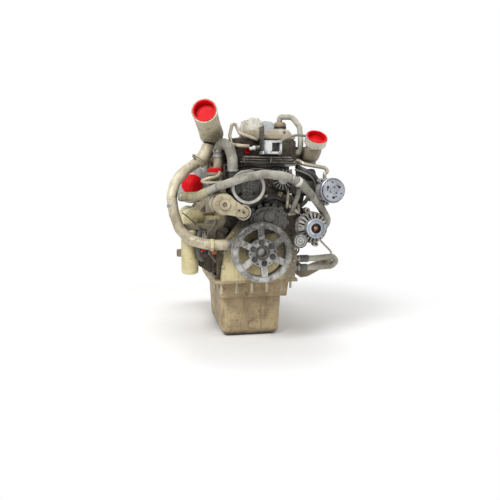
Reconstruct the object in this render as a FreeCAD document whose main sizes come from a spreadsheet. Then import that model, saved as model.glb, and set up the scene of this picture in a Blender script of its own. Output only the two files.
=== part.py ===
import FreeCAD, Part
import math
import os

import Sketcher

# In-line six-cylinder diesel engine, bare, as lifted out of a truck.
# Frame: the crankshaft turns about the Y axis, the flywheel housing's rear face is y = 0,
# the front of the engine looks towards -Y, +Z is up. Millimetres.

# Driving sizes: name, millimetres (or a plain count), what it is.
SIZES = [
    ("bore", 128, "cylinder bore"),
    ("stroke", 160, "piston stroke, twice the crank throw"),
    ("crown_height", 68, "wrist pin to the top of the block at the top of the stroke"),
    ("cyl_pitch", 148, "from one cylinder to the next"),
    ("first_cyl", 80, "rear face of the block to the rear cylinder"),
    ("last_cyl", 80, "front cylinder to the front face of the block"),
    ("deck_height", 412, "crank axis to the top of the block"),
    ("rail_drop", 150, "crank axis to the oil pan joint"),
    ("skirt_half", 188, "half width of the crankcase skirt"),
    ("upper_half", 146, "half width of the block at the cylinders"),
    ("rail_half", 204, "half width over the oil pan flange"),
    ("housing_depth", 110, "depth of the flywheel housing"),
    ("housing_radius", 276, "outer radius of the flywheel housing flange"),
    ("pilot_radius", 255.6, "pilot bore for the gearbox bell"),
    ("flange_circle", 265.1, "radius of the bell bolt circle"),
    ("flange_hole", 5.95, "radius of a bell bolt hole"),
    ("flange_wall", 14, "thickness of the bell flange"),
    ("main_radius", 52, "main journal radius"),
    ("pin_radius", 42, "crankpin radius"),
    ("pin_length", 50, "crankpin length"),
    ("web_wall", 26, "thickness of a crank web"),
    ("web_radius", 50, "radius of a web round the crankpin"),
    ("weight_radius", 112, "radius of the counterweights"),
    ("nose_radius", 36, "crank nose radius"),
    ("chamber_radius", 138, "inside radius of the crankcase round the throws"),
    ("run_gap", 0.06, "running clearance of a journal"),
    ("fit_gap", 0.15, "clearance between a piston and its bore"),
    ("cam_x", 100, "sideways offset of the camshaft"),
    ("cam_z", 150, "height of the camshaft"),
    ("cam_radius", 26, "camshaft journal radius"),
    ("gear_module", 2.5, "module of the timing gears"),
    ("gear_width", 22, "face width of the timing gears"),
    ("case_wall", 12, "thickness of the gear case plate"),
    ("cover_depth", 44, "depth of the front cover"),
    ("cover_wall", 6, "wall of the front cover"),
    ("gear_gap", 4, "gear case plate to the timing gears"),
    ("pan_wall", 6, "wall of the oil pan"),
    ("pan_rim", 14, "thickness of the oil pan flange"),
    ("tray_drop", 86, "depth of the shallow part of the oil pan"),
    ("sump_drop", 316, "depth of the oil pan below its flange face"),
    ("head_height", 120, "height of the cylinder head"),
    ("gasket_wall", 2, "thickness of the head gasket"),
    ("head_left", 128, "head, crank axis to the exhaust side"),
    ("head_right", 205, "head, crank axis to the intake side"),
    ("lid_height", 46, "height of the rocker cover"),
    ("lid_rim", 12, "thickness of the rocker cover flange"),
    ("lid_wall", 5, "wall of the rocker cover"),
    ("damper_radius", 141, "outer radius of the crank damper"),
    ("damper_depth", 62, "depth of the damper ring"),
    ("damper_face", 190, "front face of the block to the front of the damper"),
    ("damper_rim", 27, "radial width of the damper ring"),
    ("damper_web", 14, "thickness of the damper disc"),
    ("window_in", 66, "inner radius of the damper windows"),
    ("damper_hub", 66, "outer radius of the damper hub"),
    ("hub_bolts", 49, "radius of the damper bolt circle"),
    ("hub_taps", 58, "radius of the tapped holes in the damper hub"),
    ("belt_front", 180, "front face of the block to the front of the belt plane"),
    ("belt_width", 34, "width of the ribbed belt track"),
]

CYLINDERS = 6
THROW_ANGLES = (0, 120, 240, 240, 120, 0)
CRANK_TEETH, IDLER_TEETH, CAM_TEETH, PUMP_TEETH = 36, 36, 72, 28
HOUSING_BOLTS = 12

V = FreeCAD.Vector
doc = FreeCAD.newDocument("engine")
sheet = doc.addObject("Spreadsheet::Sheet", "sizes")


class Size:
    """A length that knows its value and the sheet expression that gives it."""

    def __init__(self, value, text=None):
        self.value = value
        self.text = repr(value) if text is None else text

    def join(self, sign, other, value):
        return Size(value, f"({self.text} {sign} {size(other).text})")

    def __add__(self, other):
        return self.join("+", other, self.value + size(other).value)

    def __sub__(self, other):
        return self.join("-", other, self.value - size(other).value)

    def __mul__(self, other):
        return self.join("*", other, self.value * size(other).value)

    def __truediv__(self, other):
        return self.join("/", other, self.value / size(other).value)

    def __neg__(self):
        return Size(-self.value, f"(0 - {self.text})")

    def __radd__(self, other):
        return size(other) + self

    def __rsub__(self, other):
        return size(other) - self

    __rmul__ = __mul__


def size(number):
    return number if isinstance(number, Size) else Size(float(number))


class Sheet:
    """Writes the driving sizes to the sheet and gives each back by its name."""

    def __init__(self, rows):
        for row, (name, value, note) in enumerate(rows, start=1):
            sheet.set(f"A{row}", name)
            sheet.set(f"B{row}", str(value))
            sheet.set(f"C{row}", note)
            sheet.setAlias(f"B{row}", name)
            setattr(self, name, Size(float(value), f"<<sizes>>.{name}"))


d = Sheet(SIZES)
doc.recompute()

# Ways that a primitive's own Z axis can point.
TURNS = {
    "z": FreeCAD.Rotation(),
    "-z": FreeCAD.Rotation(V(1, 0, 0), 180),
    "y": FreeCAD.Rotation(V(1, 0, 0), -90),
    "-y": FreeCAD.Rotation(V(1, 0, 0), 90),
    "x": FreeCAD.Rotation(V(0, 1, 0), 90),
    "-x": FreeCAD.Rotation(V(0, 1, 0), -90),
}


def bind(thing, **values):
    """Sets each named property from the sheet."""
    for name, value in values.items():
        if isinstance(value, Size) and "sizes" in value.text:
            thing.setExpression(name, value.text)
        else:
            setattr(thing, name, size(value).value)


def put(thing, x=0, y=0, z=0, turn=None):
    """Places an object; each coordinate keeps its link to the sheet."""
    thing.Placement = FreeCAD.Placement(V(*(size(v).value for v in (x, y, z))), turn or FreeCAD.Rotation())
    for name, value in zip("xyz", (x, y, z)):
        if isinstance(value, Size) and "sizes" in value.text:
            thing.setExpression(f"Placement.Base.{name}", value.text)
    return thing


def box(name, x, y, z):
    """A block from x[0] to x[1], y[0] to y[1] and z[0] to z[1]."""
    thing = doc.addObject("Part::Box", name)
    (x, far_x), (y, far_y), (z, far_z) = ([size(v) for v in pair] for pair in (x, y, z))
    bind(thing, Length=far_x - x, Width=far_y - y, Height=far_z - z)
    return put(thing, x, y, z)


def rod(name, axis, start, radius, length, angle=360, turn=None):
    """A cylinder from start along axis."""
    thing = doc.addObject("Part::Cylinder", name)
    bind(thing, Radius=radius, Height=length)
    thing.Angle = angle
    return put(thing, *start, turn=turn or TURNS[axis])


def cone(name, axis, start, radius, far_radius, length):
    thing = doc.addObject("Part::Cone", name)
    bind(thing, Radius1=radius, Radius2=far_radius, Height=length)
    return put(thing, *start, turn=TURNS[axis])


def join(name, parts):
    thing = doc.addObject("Part::MultiFuse", name)
    thing.Shapes = parts
    thing.Refine = True
    return thing


def group(name, parts):
    """Separate solids that share one node."""
    thing = doc.addObject("Part::Compound", name)
    thing.Links = parts
    return thing


def cut(name, base, tools):
    thing = doc.addObject("Part::Cut", name)
    thing.Base = base
    thing.Tool = tools[0] if len(tools) == 1 else join(name + "_tools", tools)
    thing.Refine = True
    return thing


def at_angle(radius, degrees):
    """x and z of a point at a radius and an angle from +X towards +Z."""
    turn = math.radians(degrees)
    return radius * math.cos(turn), radius * math.sin(turn)


def draw(sketch, corners):
    """A closed outline; both coordinates of each corner are bound to the sheet."""
    corners = [(size(x), size(y)) for x, y in corners]
    points = [V(x.value, y.value, 0) for x, y in corners]
    count = len(points)
    sketch.addGeometry([Part.LineSegment(points[i], points[(i + 1) % count]) for i in range(count)])
    sketch.addConstraint(
        [Sketcher.Constraint("Coincident", i, 2, (i + 1) % count, 1) for i in range(count)]
    )
    for i, corner in enumerate(corners):
        for kind, value in zip(("DistanceX", "DistanceY"), corner):
            index = sketch.addConstraint(Sketcher.Constraint(kind, -1, 1, i, 1, value.value))
            if "sizes" in value.text:
                sketch.setExpression(f"Constraints[{index}]", value.text)


def sketch_on(body, name, plane, height=0):
    """A sketch on one of the body's own planes, raised by height along its normal."""
    planes = {feature.Role: feature for feature in body.Origin.OriginFeatures}
    sketch = body.newObject("Sketcher::SketchObject", name)
    sketch.AttachmentSupport = [(planes[plane], "")]
    sketch.MapMode = "FlatFace"
    height = size(height)
    sketch.AttachmentOffset = FreeCAD.Placement(V(0, 0, height.value), FreeCAD.Rotation())
    if "sizes" in height.text:
        sketch.setExpression("AttachmentOffset.Base.z", height.text)
    return sketch


def turned(name, corners, x=0, y=0, z=0, turn=None):
    """A body revolved about the Y axis. Corners are (radius, y)."""
    body = doc.addObject("PartDesign::Body", name)
    sketch = sketch_on(body, name + "_profile", "XY_Plane")
    draw(sketch, corners)
    spin = body.newObject("PartDesign::Revolution", name + "_spin")
    spin.Profile = sketch
    spin.ReferenceAxis = (sketch, ["V_Axis"])
    spin.Angle = 360
    body.Tip = spin
    return put(body, x, y, z, turn)


def plate(name, corners, y, far_y, rounding=None):
    """A body padded from the outline (x, z), from y towards the front as far as far_y."""
    body = doc.addObject("PartDesign::Body", name)
    sketch = sketch_on(body, name + "_outline", "XZ_Plane", -size(y))
    draw(sketch, corners)
    pad = body.newObject("PartDesign::Pad", name + "_pad")
    pad.Profile = sketch
    bind(pad, Length=size(y) - far_y)
    body.Tip = pad
    if rounding is not None:
        doc.recompute()
        edges = [
            f"Edge{i}"
            for i, edge in enumerate(pad.Shape.Edges, start=1)
            if abs(edge.tangentAt(edge.FirstParameter).y) > 0.999
        ]
        fillet = body.newObject("PartDesign::Fillet", name + "_corners")
        fillet.Base = (pad, edges)
        bind(fillet, Radius=rounding)
        body.Tip = fillet
    return body


def soften(name, base, radius, pick):
    """Rounds the edges of base that pick chooses."""
    doc.recompute()
    thing = doc.addObject("Part::Fillet", name)
    thing.Base = base
    chosen = [i for i, edge in enumerate(base.Shape.Edges, start=1) if pick(edge)]
    value = size(radius).value
    thing.Edges = [(i, value, value) for i in chosen]
    return thing


def solid(name, shape):
    """A piece whose shape is worked out here from the sizes."""
    thing = doc.addObject("Part::Feature", name)
    thing.Shape = shape
    return thing


def point(*xyz):
    return V(*(size(v).value for v in xyz))


def route(points, bend):
    """Straight runs joined by tangent arcs, no arc larger than its runs allow."""
    edges, start = [], points[0]
    for before, corner, after in zip(points, points[1:], points[2:]):
        back, ahead = before - corner, after - corner
        half = math.pi / 2 - back.getAngle(ahead) / 2
        reach = min(bend * math.tan(half), 0.45 * min(back.Length, ahead.Length))
        radius = reach / math.tan(half)
        first = corner + back * (reach / back.Length)
        last = corner + ahead * (reach / ahead.Length)
        inward = (back * (1 / back.Length) + ahead * (1 / ahead.Length)).normalize()
        middle = corner + inward * (radius / math.cos(half) - radius)
        edges.append(Part.LineSegment(start, first).toShape())
        edges.append(Part.Arc(first, middle, last).toShape())
        start = last
    edges.append(Part.LineSegment(start, points[-1]).toShape())
    return Part.Wire(edges)


def swept(points, radius, bend):
    """A round bar along the route."""
    ahead = points[1] - points[0]
    section = Part.Wire([Part.Circle(points[0], ahead, radius).toShape()])
    return route(points, bend).makePipeShell([section], True, False)


def pipe(name, points, radius, bend=60.0, wall=None):
    """A pipe or hose along hand-chosen points; with a wall it is hollow."""
    points = [point(*p) for p in points]
    radius = size(radius).value
    shape = swept(points, radius, bend)
    if wall is not None:
        shape = shape.cut(swept(points, radius - size(wall).value, bend))
    return solid(name, shape)


def ring_between(centre, ahead, outer, inner, length):
    """A ring about any axis, such as a clamp band, from its centre outwards both ways."""
    direction = V(*ahead).normalize()
    start = point(*centre) - direction * (length / 2)
    shape = Part.makeCylinder(outer, length, start, direction)
    return shape.cut(Part.makeCylinder(inner, length, start, direction))


def bolt(x, y, z, reach, head, axis=(0, -1, 0), head_length=None):
    """A hexagon-headed screw whose washer face is at x, y, z and whose head points along axis."""
    place, direction = point(x, y, z), V(*axis)
    head = size(head).value
    tall = head * 1.2 if head_length is None else head_length
    washer = Part.makeCylinder(head * 1.25, head * 0.25, place, direction)
    hexagon = Part.makePolygon([V(head * math.cos(a), head * math.sin(a), 0) for a in HEX])
    prism = Part.Face(hexagon).extrude(V(0, 0, tall))
    prism.Placement = FreeCAD.Placement(place, FreeCAD.Rotation(V(0, 0, 1), direction))
    shape = washer.fuse(prism)
    if reach:
        shape = shape.fuse(Part.makeCylinder(head * 0.55, reach, place, direction * -1))
    return shape.removeSplitter()


HEX = [math.radians(60 * i) for i in range(7)]


def screw_set(name, screws):
    """Identical screws in one node, each its own solid."""
    return solid(name, Part.makeCompound(screws))


# Places along the engine, from the rear face forwards.
block_rear = -d.housing_depth
block_length = d.first_cyl + d.cyl_pitch * (CYLINDERS - 1) + d.last_cyl
block_front = block_rear - block_length
case_front = block_front - d.case_wall
cover_front = case_front - d.cover_depth
gear_rear = case_front - d.gear_gap
gear_front = gear_rear - d.gear_width
damper_front = block_front - d.damper_face
damper_rear = damper_front + d.damper_depth
belt_face = block_front - d.belt_front
belt_back = belt_face + d.belt_width
cylinder_y = [block_rear - d.first_cyl - d.cyl_pitch * i for i in range(CYLINDERS)]
bearing_y = [block_rear - d.first_cyl - d.cyl_pitch * (i - 0.5) for i in range(CYLINDERS + 1)]
rail_z = -d.rail_drop
deck_z = d.deck_height
head_z = deck_z + d.gasket_wall
lid_z = head_z + d.head_height
throw = d.stroke / 2
rod_length = deck_z - throw - d.crown_height
cover_floor = rail_z + 16
half_bay = d.pin_length / 2 + d.web_wall + 5

# How far the front face of the block, its top and its sides stand from their usual places.
nose = block_front + 1010
rise = deck_z - 412
skirt_out = d.skirt_half - 188
wall_out = d.upper_half - 146

# Timing gears: the crank gear drives an idler above it, the idler drives the cam gear.
IDLER_TURN, CAM_TURN, PUMP_TURN = 102.7, 27.44, 240.0


def pitch_radius(teeth):
    return d.gear_module * teeth / 2


def gear_place(teeth, mate_teeth, degrees, x=0, z=0):
    """x and z of a gear that meshes with the gear at x, z in the given direction."""
    side, up = at_angle(1, degrees)
    reach = pitch_radius(teeth) + pitch_radius(mate_teeth)
    return x + reach * side, z + reach * up


idler_x, idler_z = gear_place(IDLER_TEETH, CRANK_TEETH, IDLER_TURN)
cam_x, cam_z = gear_place(CAM_TEETH, IDLER_TEETH, CAM_TURN, idler_x, idler_z)
pump_x, pump_z = gear_place(PUMP_TEETH, CRANK_TEETH, PUMP_TURN)

# Outline of the front cover, seen from the front; the pan closes it from below.
cover_outline = [
    (-177, rail_z), (190, rail_z), (cam_x + 107, 60), (cam_x + 107, cam_z + 65), (cam_x + 72, cam_z + 114),
    (20, cam_z + 114), (-5, cam_z + 90), (-75, cam_z + 10), (-147, 52),
]
case_outline = [
    (-177, rail_z), (190, rail_z), (cam_x + 107, 60), (cam_x + 107, cam_z + 65), (cam_x + 72, cam_z + 114),
    (d.upper_half, cam_z + 124), (d.upper_half, deck_z - 4), (-d.upper_half, deck_z - 4), (-d.upper_half,
        56),
]
cover_bolt_places = [
    (-168, -80), (-160, -14), (-118, 84), (-66, 148), (44, cam_z + 106), (110, cam_z + 106), (cam_x + 99,
        190),
    (190, 0), (184, -60),
]
pan_bolt_x = [-173, -98, -23, 52, 127]


def inside(corners, wall, floor=None):
    """The outline moved inwards by a wall."""
    middle_x = sum(size(x).value for x, z in corners) / len(corners)
    middle_z = sum(size(z).value for x, z in corners) / len(corners)
    moved = []
    for x, z in corners:
        x, z = size(x), size(z)
        x = x - wall if x.value > middle_x else x + wall
        if floor is not None and abs(z.value - size(rail_z).value) < 1e-6:
            z = floor
        else:
            z = z - wall if z.value > middle_z else z + wall
        moved.append((x, z))
    return moved


def cylinder_block():
    outline = [
        (-d.rail_half, rail_z), (d.rail_half, rail_z), (d.rail_half, rail_z + 18), (d.skirt_half,
            rail_z + 18),
        (d.skirt_half, 70), (d.upper_half, 130), (d.upper_half, deck_z), (-d.upper_half, deck_z),
        (-d.upper_half, 130), (-d.skirt_half, 70), (-d.skirt_half, rail_z + 18), (-d.rail_half,
            rail_z + 18),
    ]
    tools = []
    for i, y in enumerate(cylinder_y):
        low, high = y - half_bay, y + half_bay
        tools.append(rod(f"cylinder_{i}", "z", (0, y, 90), d.bore / 2, deck_z))
        tools.append(rod(f"crank_bay_{i}", "y", (0, low, 0), d.chamber_radius, half_bay * 2))
        tools.append(box(f"bay_mouth_{i}", (-d.chamber_radius, d.chamber_radius), (low, high),
            (rail_z - 1, 0)))
    through = block_length + 2
    tools.append(rod("main_tunnel", "y", (0, block_front - 1, 0), d.main_radius + d.run_gap, through))
    tools.append(rod("cam_tunnel", "y", (cam_x, block_front - 1, cam_z), d.cam_radius + d.run_gap, through))
    tools.append(box("cap_slot", (-80.3, 80.3), (block_front - 1, block_rear + 1), (rail_z - 1, 0)))
    for name, x, z in (("idler", idler_x, idler_z), ("oil_pump", pump_x, pump_z)):
        tools.append(rod(f"{name}_bearing", "y", (x, block_front - 1, z), 12 + d.run_gap, 23))
    for i, y in enumerate(bearing_y[1:-1]):
        for side in (-66, 66):
            tools.append(rod(f"cap_thread_{i}_{side + 66}", "z", (side, y, -1), 7.4, 56))
    for i, y in enumerate(pan_side_y):
        for side in (-1, 1):
            tools.append(rod(f"rail_thread_{i}_{side + 1}", "z", (side * 196, y, rail_z - 1), 4.6, 17))
    return cut("cylinder_block", plate("block_casting", outline, block_rear, block_front), tools)


pan_side_y = [block_rear - 50 - 100 * i for i in range(9)]


def main_bearing_caps():
    caps = []
    for i, y in enumerate(bearing_y):
        end = i in (0, CYLINDERS)
        rear = block_rear if i == 0 else y + 18
        front = block_front if i == CYLINDERS else y - 18
        caps.append(box(f"cap_blank_{i}", (-80, 80), (front, rear), (rail_z if end else -88, 0)))
    tools = [rod("cap_bore", "y", (0, block_front - 1, 0), d.main_radius + d.run_gap, block_length + 2)]
    for i, y in enumerate(bearing_y[1:-1]):
        for side in (-66, 66):
            tools.append(rod(f"cap_hole_{i}_{side + 66}", "z", (side, y, -89), 7.4, 90))
    tools.append(rod("cap_pump_shaft", "y", (pump_x, block_front - 1, pump_z), 12 + d.run_gap, 30))
    return cut("main_bearing_caps", group("cap_blanks", caps), tools)


def main_cap_bolts():
    places = [(side, y) for y in bearing_y[1:-1] for side in (-66, 66)]
    return [bolt(x, y, -88, 140, 11, (0, 0, -1)) for x, y in places]


def turn_about_crank(thing, degrees, x, y, z):
    """Turns a block that was drawn pointing up so that it points at degrees from +Z towards +X."""
    side, up = at_angle(1, 90 - degrees)
    x, z = size(x), size(z)
    return put(thing, x * up + z * side, y, z * up - x * side, FreeCAD.Rotation(V(0, 1, 0), degrees))


def crankshaft():
    parts = []
    for i, y in enumerate(bearing_y):
        front = block_front - 2 if i == CYLINDERS else y - 23
        parts.append(rod(f"main_journal_{i}", "y", (0, front, 0), d.main_radius, y + 23 - front))
    for i, (y, turn) in enumerate(zip(cylinder_y, THROW_ANGLES)):
        side, up = at_angle(1, 90 - turn)
        low = y - d.pin_length / 2 - d.web_wall
        centre = (throw * side, throw * up)
        parts.append(rod(f"crankpin_{i}", "y", (centre[0], low, centre[1]), d.pin_radius,
            2 * d.web_wall + d.pin_length))
        for j, rear in enumerate((low, y + d.pin_length / 2)):
            parts.append(rod(f"web_{i}_{j}", "y", (centre[0], rear, centre[1]), d.web_radius, d.web_wall))
            half, foot = d.web_radius * 0.96, d.web_radius * -0.5
            arm = box(f"web_arm_{i}_{j}", (-half, half), (rear, rear + d.web_wall), (foot, throw))
            parts.append(turn_about_crank(arm, turn, -half, rear, foot))
            facing = FreeCAD.Rotation(V(0, 1, 0), turn) * FreeCAD.Rotation(V(1, 0, 0), -90)
            facing = facing * FreeCAD.Rotation(V(0, 0, 1), 20)
            weight = rod(f"weight_{i}_{j}", "y", (0, rear, 0), d.weight_radius, d.web_wall, 140, facing)
            parts.append(weight)
    parts.append(rod("crank_nose", "y", (0, damper_rear - 20, 0), d.nose_radius,
        block_front - damper_rear + 20))
    parts.append(rod("crank_flange", "y", (0, bearing_y[0] + 22, 0), 72, 18))
    return join("crankshaft", parts)


def gear_shape(teeth, phase, x, z, shaft, rear, width):
    """A spur gear with involute flanks drawn as short chords, about an axis along Y."""
    module = d.gear_module.value
    pitch, base = module * teeth / 2, module * teeth / 2 * math.cos(math.radians(20))
    tip, root = pitch + module, pitch - 1.2 * module
    backlash = 0.3 / pitch / 2

    def involute(radius):
        angle = math.acos(min(1.0, base / radius))
        return math.tan(angle) - angle

    half = math.pi / 2 / teeth - backlash + involute(pitch)
    flank = [max(base, root) + (tip - max(base, root)) * step / 3 for step in range(4)]
    sides = [(root, half - involute(flank[0]))] + [(r, half - involute(r)) for r in flank]
    corners = []
    for tooth in range(teeth):
        centre = math.radians(phase + 360 * tooth / teeth)
        corners += [(r, centre - a) for r, a in sides]
        corners += [(r, centre + a) for r, a in reversed(sides)]
    rear, width = size(rear).value, size(width).value
    points = [V(r * math.cos(a), rear, r * math.sin(a)) for r, a in corners]
    blank = Part.Face(Part.makePolygon(points + points[:1])).extrude(V(0, -width, 0))
    if pitch > 60:
        for i in range(6):
            hole_x, hole_z = at_angle((pitch + shaft) / 2, 60 * i)
            hole = Part.makeCylinder(pitch / 5.5, width + 2, V(hole_x, rear - width - 1, hole_z),
                V(0, 1, 0))
            blank = blank.cut(hole)
    blank = blank.cut(Part.makeCylinder(shaft, width + 2, V(0, rear - width - 1, 0), V(0, 1, 0)))
    blank.translate(V(size(x).value, 0, size(z).value))
    return blank


def meshed(phase, teeth, degrees, mate_teeth):
    """Where the mate's first tooth stands so that it meshes in the given direction."""
    pitch = 360 / teeth
    offset = (phase - degrees + pitch / 2) % pitch - pitch / 2
    return degrees + 180 - offset * teeth / mate_teeth + 180 / mate_teeth


def timing_gears():
    crank_phase = IDLER_TURN
    idler_phase = meshed(crank_phase, CRANK_TEETH, IDLER_TURN, IDLER_TEETH)
    cam_phase = meshed(idler_phase, IDLER_TEETH, CAM_TURN, CAM_TEETH)
    pump_phase = meshed(crank_phase, CRANK_TEETH, PUMP_TURN, PUMP_TEETH)
    face = (gear_rear, d.gear_width)
    stub = size(gear_front - block_front - 20).value
    pieces = [
        solid("crank_gear", gear_shape(CRANK_TEETH, crank_phase, 0, 0, d.nose_radius.value, *face)),
        solid("cam_gear", gear_shape(CAM_TEETH, cam_phase, cam_x, cam_z, 20, *face)),
    ]
    for name, teeth, phase, x, z in (
        ("idler_gear", IDLER_TEETH, idler_phase, idler_x, idler_z),
        ("oil_pump_gear", PUMP_TEETH, pump_phase, pump_x, pump_z),
    ):
        shape = gear_shape(teeth, phase, x, z, 6, *face)
        axle = Part.makeCylinder(12, -stub, point(x, gear_front, z), V(0, 1, 0))
        pieces.append(solid(name, shape.fuse(axle).removeSplitter()))
    return pieces


def camshaft():
    parts = [rod("cam_bar", "y", (cam_x, block_front + 2, cam_z), 15, block_length - 4)]
    places = [(block_front + 1, 21)] + [(y - 12, 24) for y in bearing_y[1:-1]] + [(block_rear - 22, 21)]
    for i, (y, length) in enumerate(places):
        parts.append(rod(f"cam_journal_{i}", "y", (cam_x, y, cam_z), d.cam_radius, length))
    for i, y in enumerate(cylinder_y):
        for j, offset in enumerate((-34, 12)):
            parts.append(rod(f"cam_base_{i}_{j}", "y", (cam_x, y + offset, cam_z), 18, 22))
            side, up = at_angle(14, 90 + THROW_ANGLES[i] / 2 + 110 * j)
            parts.append(rod(f"cam_lobe_{i}_{j}", "y", (cam_x + side, y + offset, cam_z + up), 10.5, 22))
    parts.append(rod("cam_nose", "y", (cam_x, gear_front, cam_z), 20, block_front + 4 - gear_front))
    return join("camshaft", parts)


def piston(name, y, pin_z):
    """A piston with three ring grooves; its axis is the cylinder's."""
    outer = d.bore / 2 - d.fit_gap
    corners = [(0, 67), (outer, 67)]
    for groove in (55, 45, 35):
        corners += [(outer, groove), (outer - 4, groove), (outer - 4, groove - 4), (outer, groove - 4)]
    corners += [(outer, -50), (outer - 8, -50), (outer - 8, 20), (24, 30), (0, 34)]
    blank = turned(name + "_blank", corners, 0, y, pin_z, FreeCAD.Rotation(V(1, 0, 0), 90))
    pin = rod(name + "_pin_bore", "y", (0, y - 70, pin_z), 24, 140)
    return cut(name, blank, [pin])


def pistons():
    pieces = []
    for i, (y, turn) in enumerate(zip(cylinder_y, THROW_ANGLES)):
        side, up = at_angle(1, 90 - turn)
        across, lift = throw * side, throw * up
        reach = math.sqrt(rod_length.value**2 - across.value**2)
        pin_z = lift + Size(reach, f"sqrt({rod_length.text}^2 - {across.text}^2)")
        pieces.append(piston(f"piston_{i + 1}", y, pin_z))
    pairs = (("pistons_outer", 0, 5), ("pistons_middle", 1, 4), ("pistons_inner", 2, 3))
    return [group(name, [pieces[i], pieces[j]]) for name, i, j in pairs]


def flywheel_housing():
    back = block_rear + 14
    corners = [
        (80, block_rear), (d.pilot_radius - 30, block_rear), (d.pilot_radius + 2.4, back + 12),
        (d.pilot_radius + 2.4, -d.flange_wall), (d.housing_radius, -d.flange_wall), (d.housing_radius, 0),
        (d.pilot_radius, 0), (d.pilot_radius, -6), (d.pilot_radius - 10, -6), (d.pilot_radius - 10,
            back + 14),
        (d.pilot_radius - 38, back), (80, back),
    ]
    tools = []
    for i in range(HOUSING_BOLTS):
        side, up = at_angle(1, 15 + 30 * i)
        place = (d.flange_circle * side, -d.flange_wall - 1, d.flange_circle * up)
        tools.append(rod(f"bell_hole_{i}", "y", place, d.flange_hole, d.flange_wall + 2))
    tools.append(rod("cam_cap_hole", "y", (cam_x, block_rear - 1, cam_z), 30, 16))
    return cut("flywheel_housing", turned("housing_casting", corners), tools)


def flywheel():
    rear = bearing_y[0] + 40
    outer = d.pilot_radius - 36
    corners = [
        (28, rear), (outer - 12, rear), (outer - 12, rear + 6), (outer, rear + 6), (outer, rear + 30),
        (outer - 10, rear + 30), (outer - 10, rear + 52), (outer - 40, rear + 52), (outer - 40, rear + 40),
        (100, rear + 40), (84, rear + 22), (28, rear + 22),
    ]
    tools = []
    for i in range(10):
        side, up = at_angle(54, 36 * i)
        tools.append(rod(f"wheel_hole_{i}", "y", (side, rear - 1, up), 7.5, 24))
    return cut("flywheel", turned("flywheel_blank", corners), tools)


def flywheel_bolts():
    face = bearing_y[0] + 62
    places = [at_angle(54, 36 * i) for i in range(10)]
    return [bolt(x, face, z, 21.5, 11, (0, 1, 0)) for x, z in places]


def damper():
    ring = d.damper_radius - d.damper_rim
    corners = [
        (20, damper_front + 8), (32, damper_front + 8), (36, damper_front), (ring, damper_front),
        (d.damper_radius - 3, damper_front), (d.damper_radius, damper_front + 3),
        (d.damper_radius, damper_rear), (ring, damper_rear), (ring, damper_front + d.damper_web),
        (d.damper_hub, damper_front + d.damper_web), (d.damper_hub, damper_rear - 22), (20,
            damper_rear - 22),
    ]
    deep = d.damper_web + 2
    low = damper_front - 1
    band = [rod("window_outer", "y", (0, low, 0), ring - 2, deep)]
    spokes = [rod("window_inner", "y", (0, low - 1, 0), d.window_in, deep + 2)]
    for i in range(6):
        spoke = box(f"spoke_{i}", (-15, 15), (low - 1, low + deep + 1), (0, d.damper_radius))
        spokes.append(turn_about_crank(spoke, 55 + 60 * i, -15, low - 1, 0))
    windows = cut("damper_windows", band[0], spokes)
    tools = [windows]
    for i in range(6):
        side, up = at_angle(1, 38 + 60 * i)
        place = (d.hub_bolts * side, damper_front - 1, d.hub_bolts * up)
        tools.append(rod(f"hub_hole_{i}", "y", place, 7, d.damper_depth))
        side, up = at_angle(1, 5 + 60 * i)
        place = (d.hub_taps * side, damper_front - 1, d.hub_taps * up)
        tools.append(rod(f"hub_tap_{i}", "y", place, 3.4, 22))
    return cut("crank_damper", turned("damper_disc", corners), tools)


def crank_hub():
    """The flanged sleeve on the crank nose that carries the damper."""
    rear, face = gear_front - 2, damper_rear - 22.0
    corners = [
        (d.nose_radius, rear), (45, rear), (45, face + 12), (62, face + 12), (62, face), (d.nose_radius,
            face),
    ]
    tools = []
    for i in range(6):
        side, up = at_angle(1, 38 + 60 * i)
        tools.append(rod(f"flange_hole_{i}", "y", (d.hub_bolts * side, face - 1, d.hub_bolts * up), 7, 14))
    return cut("crank_hub", turned("hub_sleeve", corners), tools)


def crank_bolts():
    """The damper's screws in front and the flywheel's behind."""
    places = [at_angle(d.hub_bolts.value, 38 + 60 * i) for i in range(6)]
    front = [bolt(x, damper_front, z, 50, 10.5) for x, z in places]
    return screw_set("crank_bolts", front + flywheel_bolts())


def crank_seal():
    corners = [(45.4, cover_front - 1), (56, cover_front - 1), (56, cover_front + 7),
        (45.4, cover_front + 7)]
    return turned("crank_seal", corners)


def cylinder_head():
    left, right = -d.head_left, d.head_right
    outline = [
        (left, head_z), (right, head_z), (right, lid_z - 14), (right - 14, lid_z), (left + 14,
            lid_z), (left, lid_z - 14),
    ]
    tools = []
    for i, y in enumerate(cylinder_y):
        tools.append(rod(f"exhaust_port_{i}", "x", (left - 1, y, head_z + 30), 20, 62))
        tools.append(rod(f"intake_port_{i}", "x", (right - 70, y, head_z + 36), 22, 71))
        tools.append(rod(f"injector_well_{i}", "z", (0, y, head_z + 40), 14, d.head_height))
        tools.append(rod(f"chamber_{i}", "z", (0, y, head_z - 1), d.bore / 2 - 4, 5))
    return cut("cylinder_head", plate("head_casting", outline, block_rear - 5, block_front + 5), tools)


def head_gasket():
    base = box("gasket_sheet", (-d.head_left, 144), (block_front + 5, block_rear - 5), (deck_z, head_z))
    tools = []
    for i, y in enumerate(cylinder_y):
        tools.append(rod(f"gasket_bore_{i}", "z", (0, y, deck_z - 1), d.bore / 2 + 2, 4))
    return cut("head_gasket", base, tools)


LID_LEFT, LID_RIGHT = -66, 204


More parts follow.
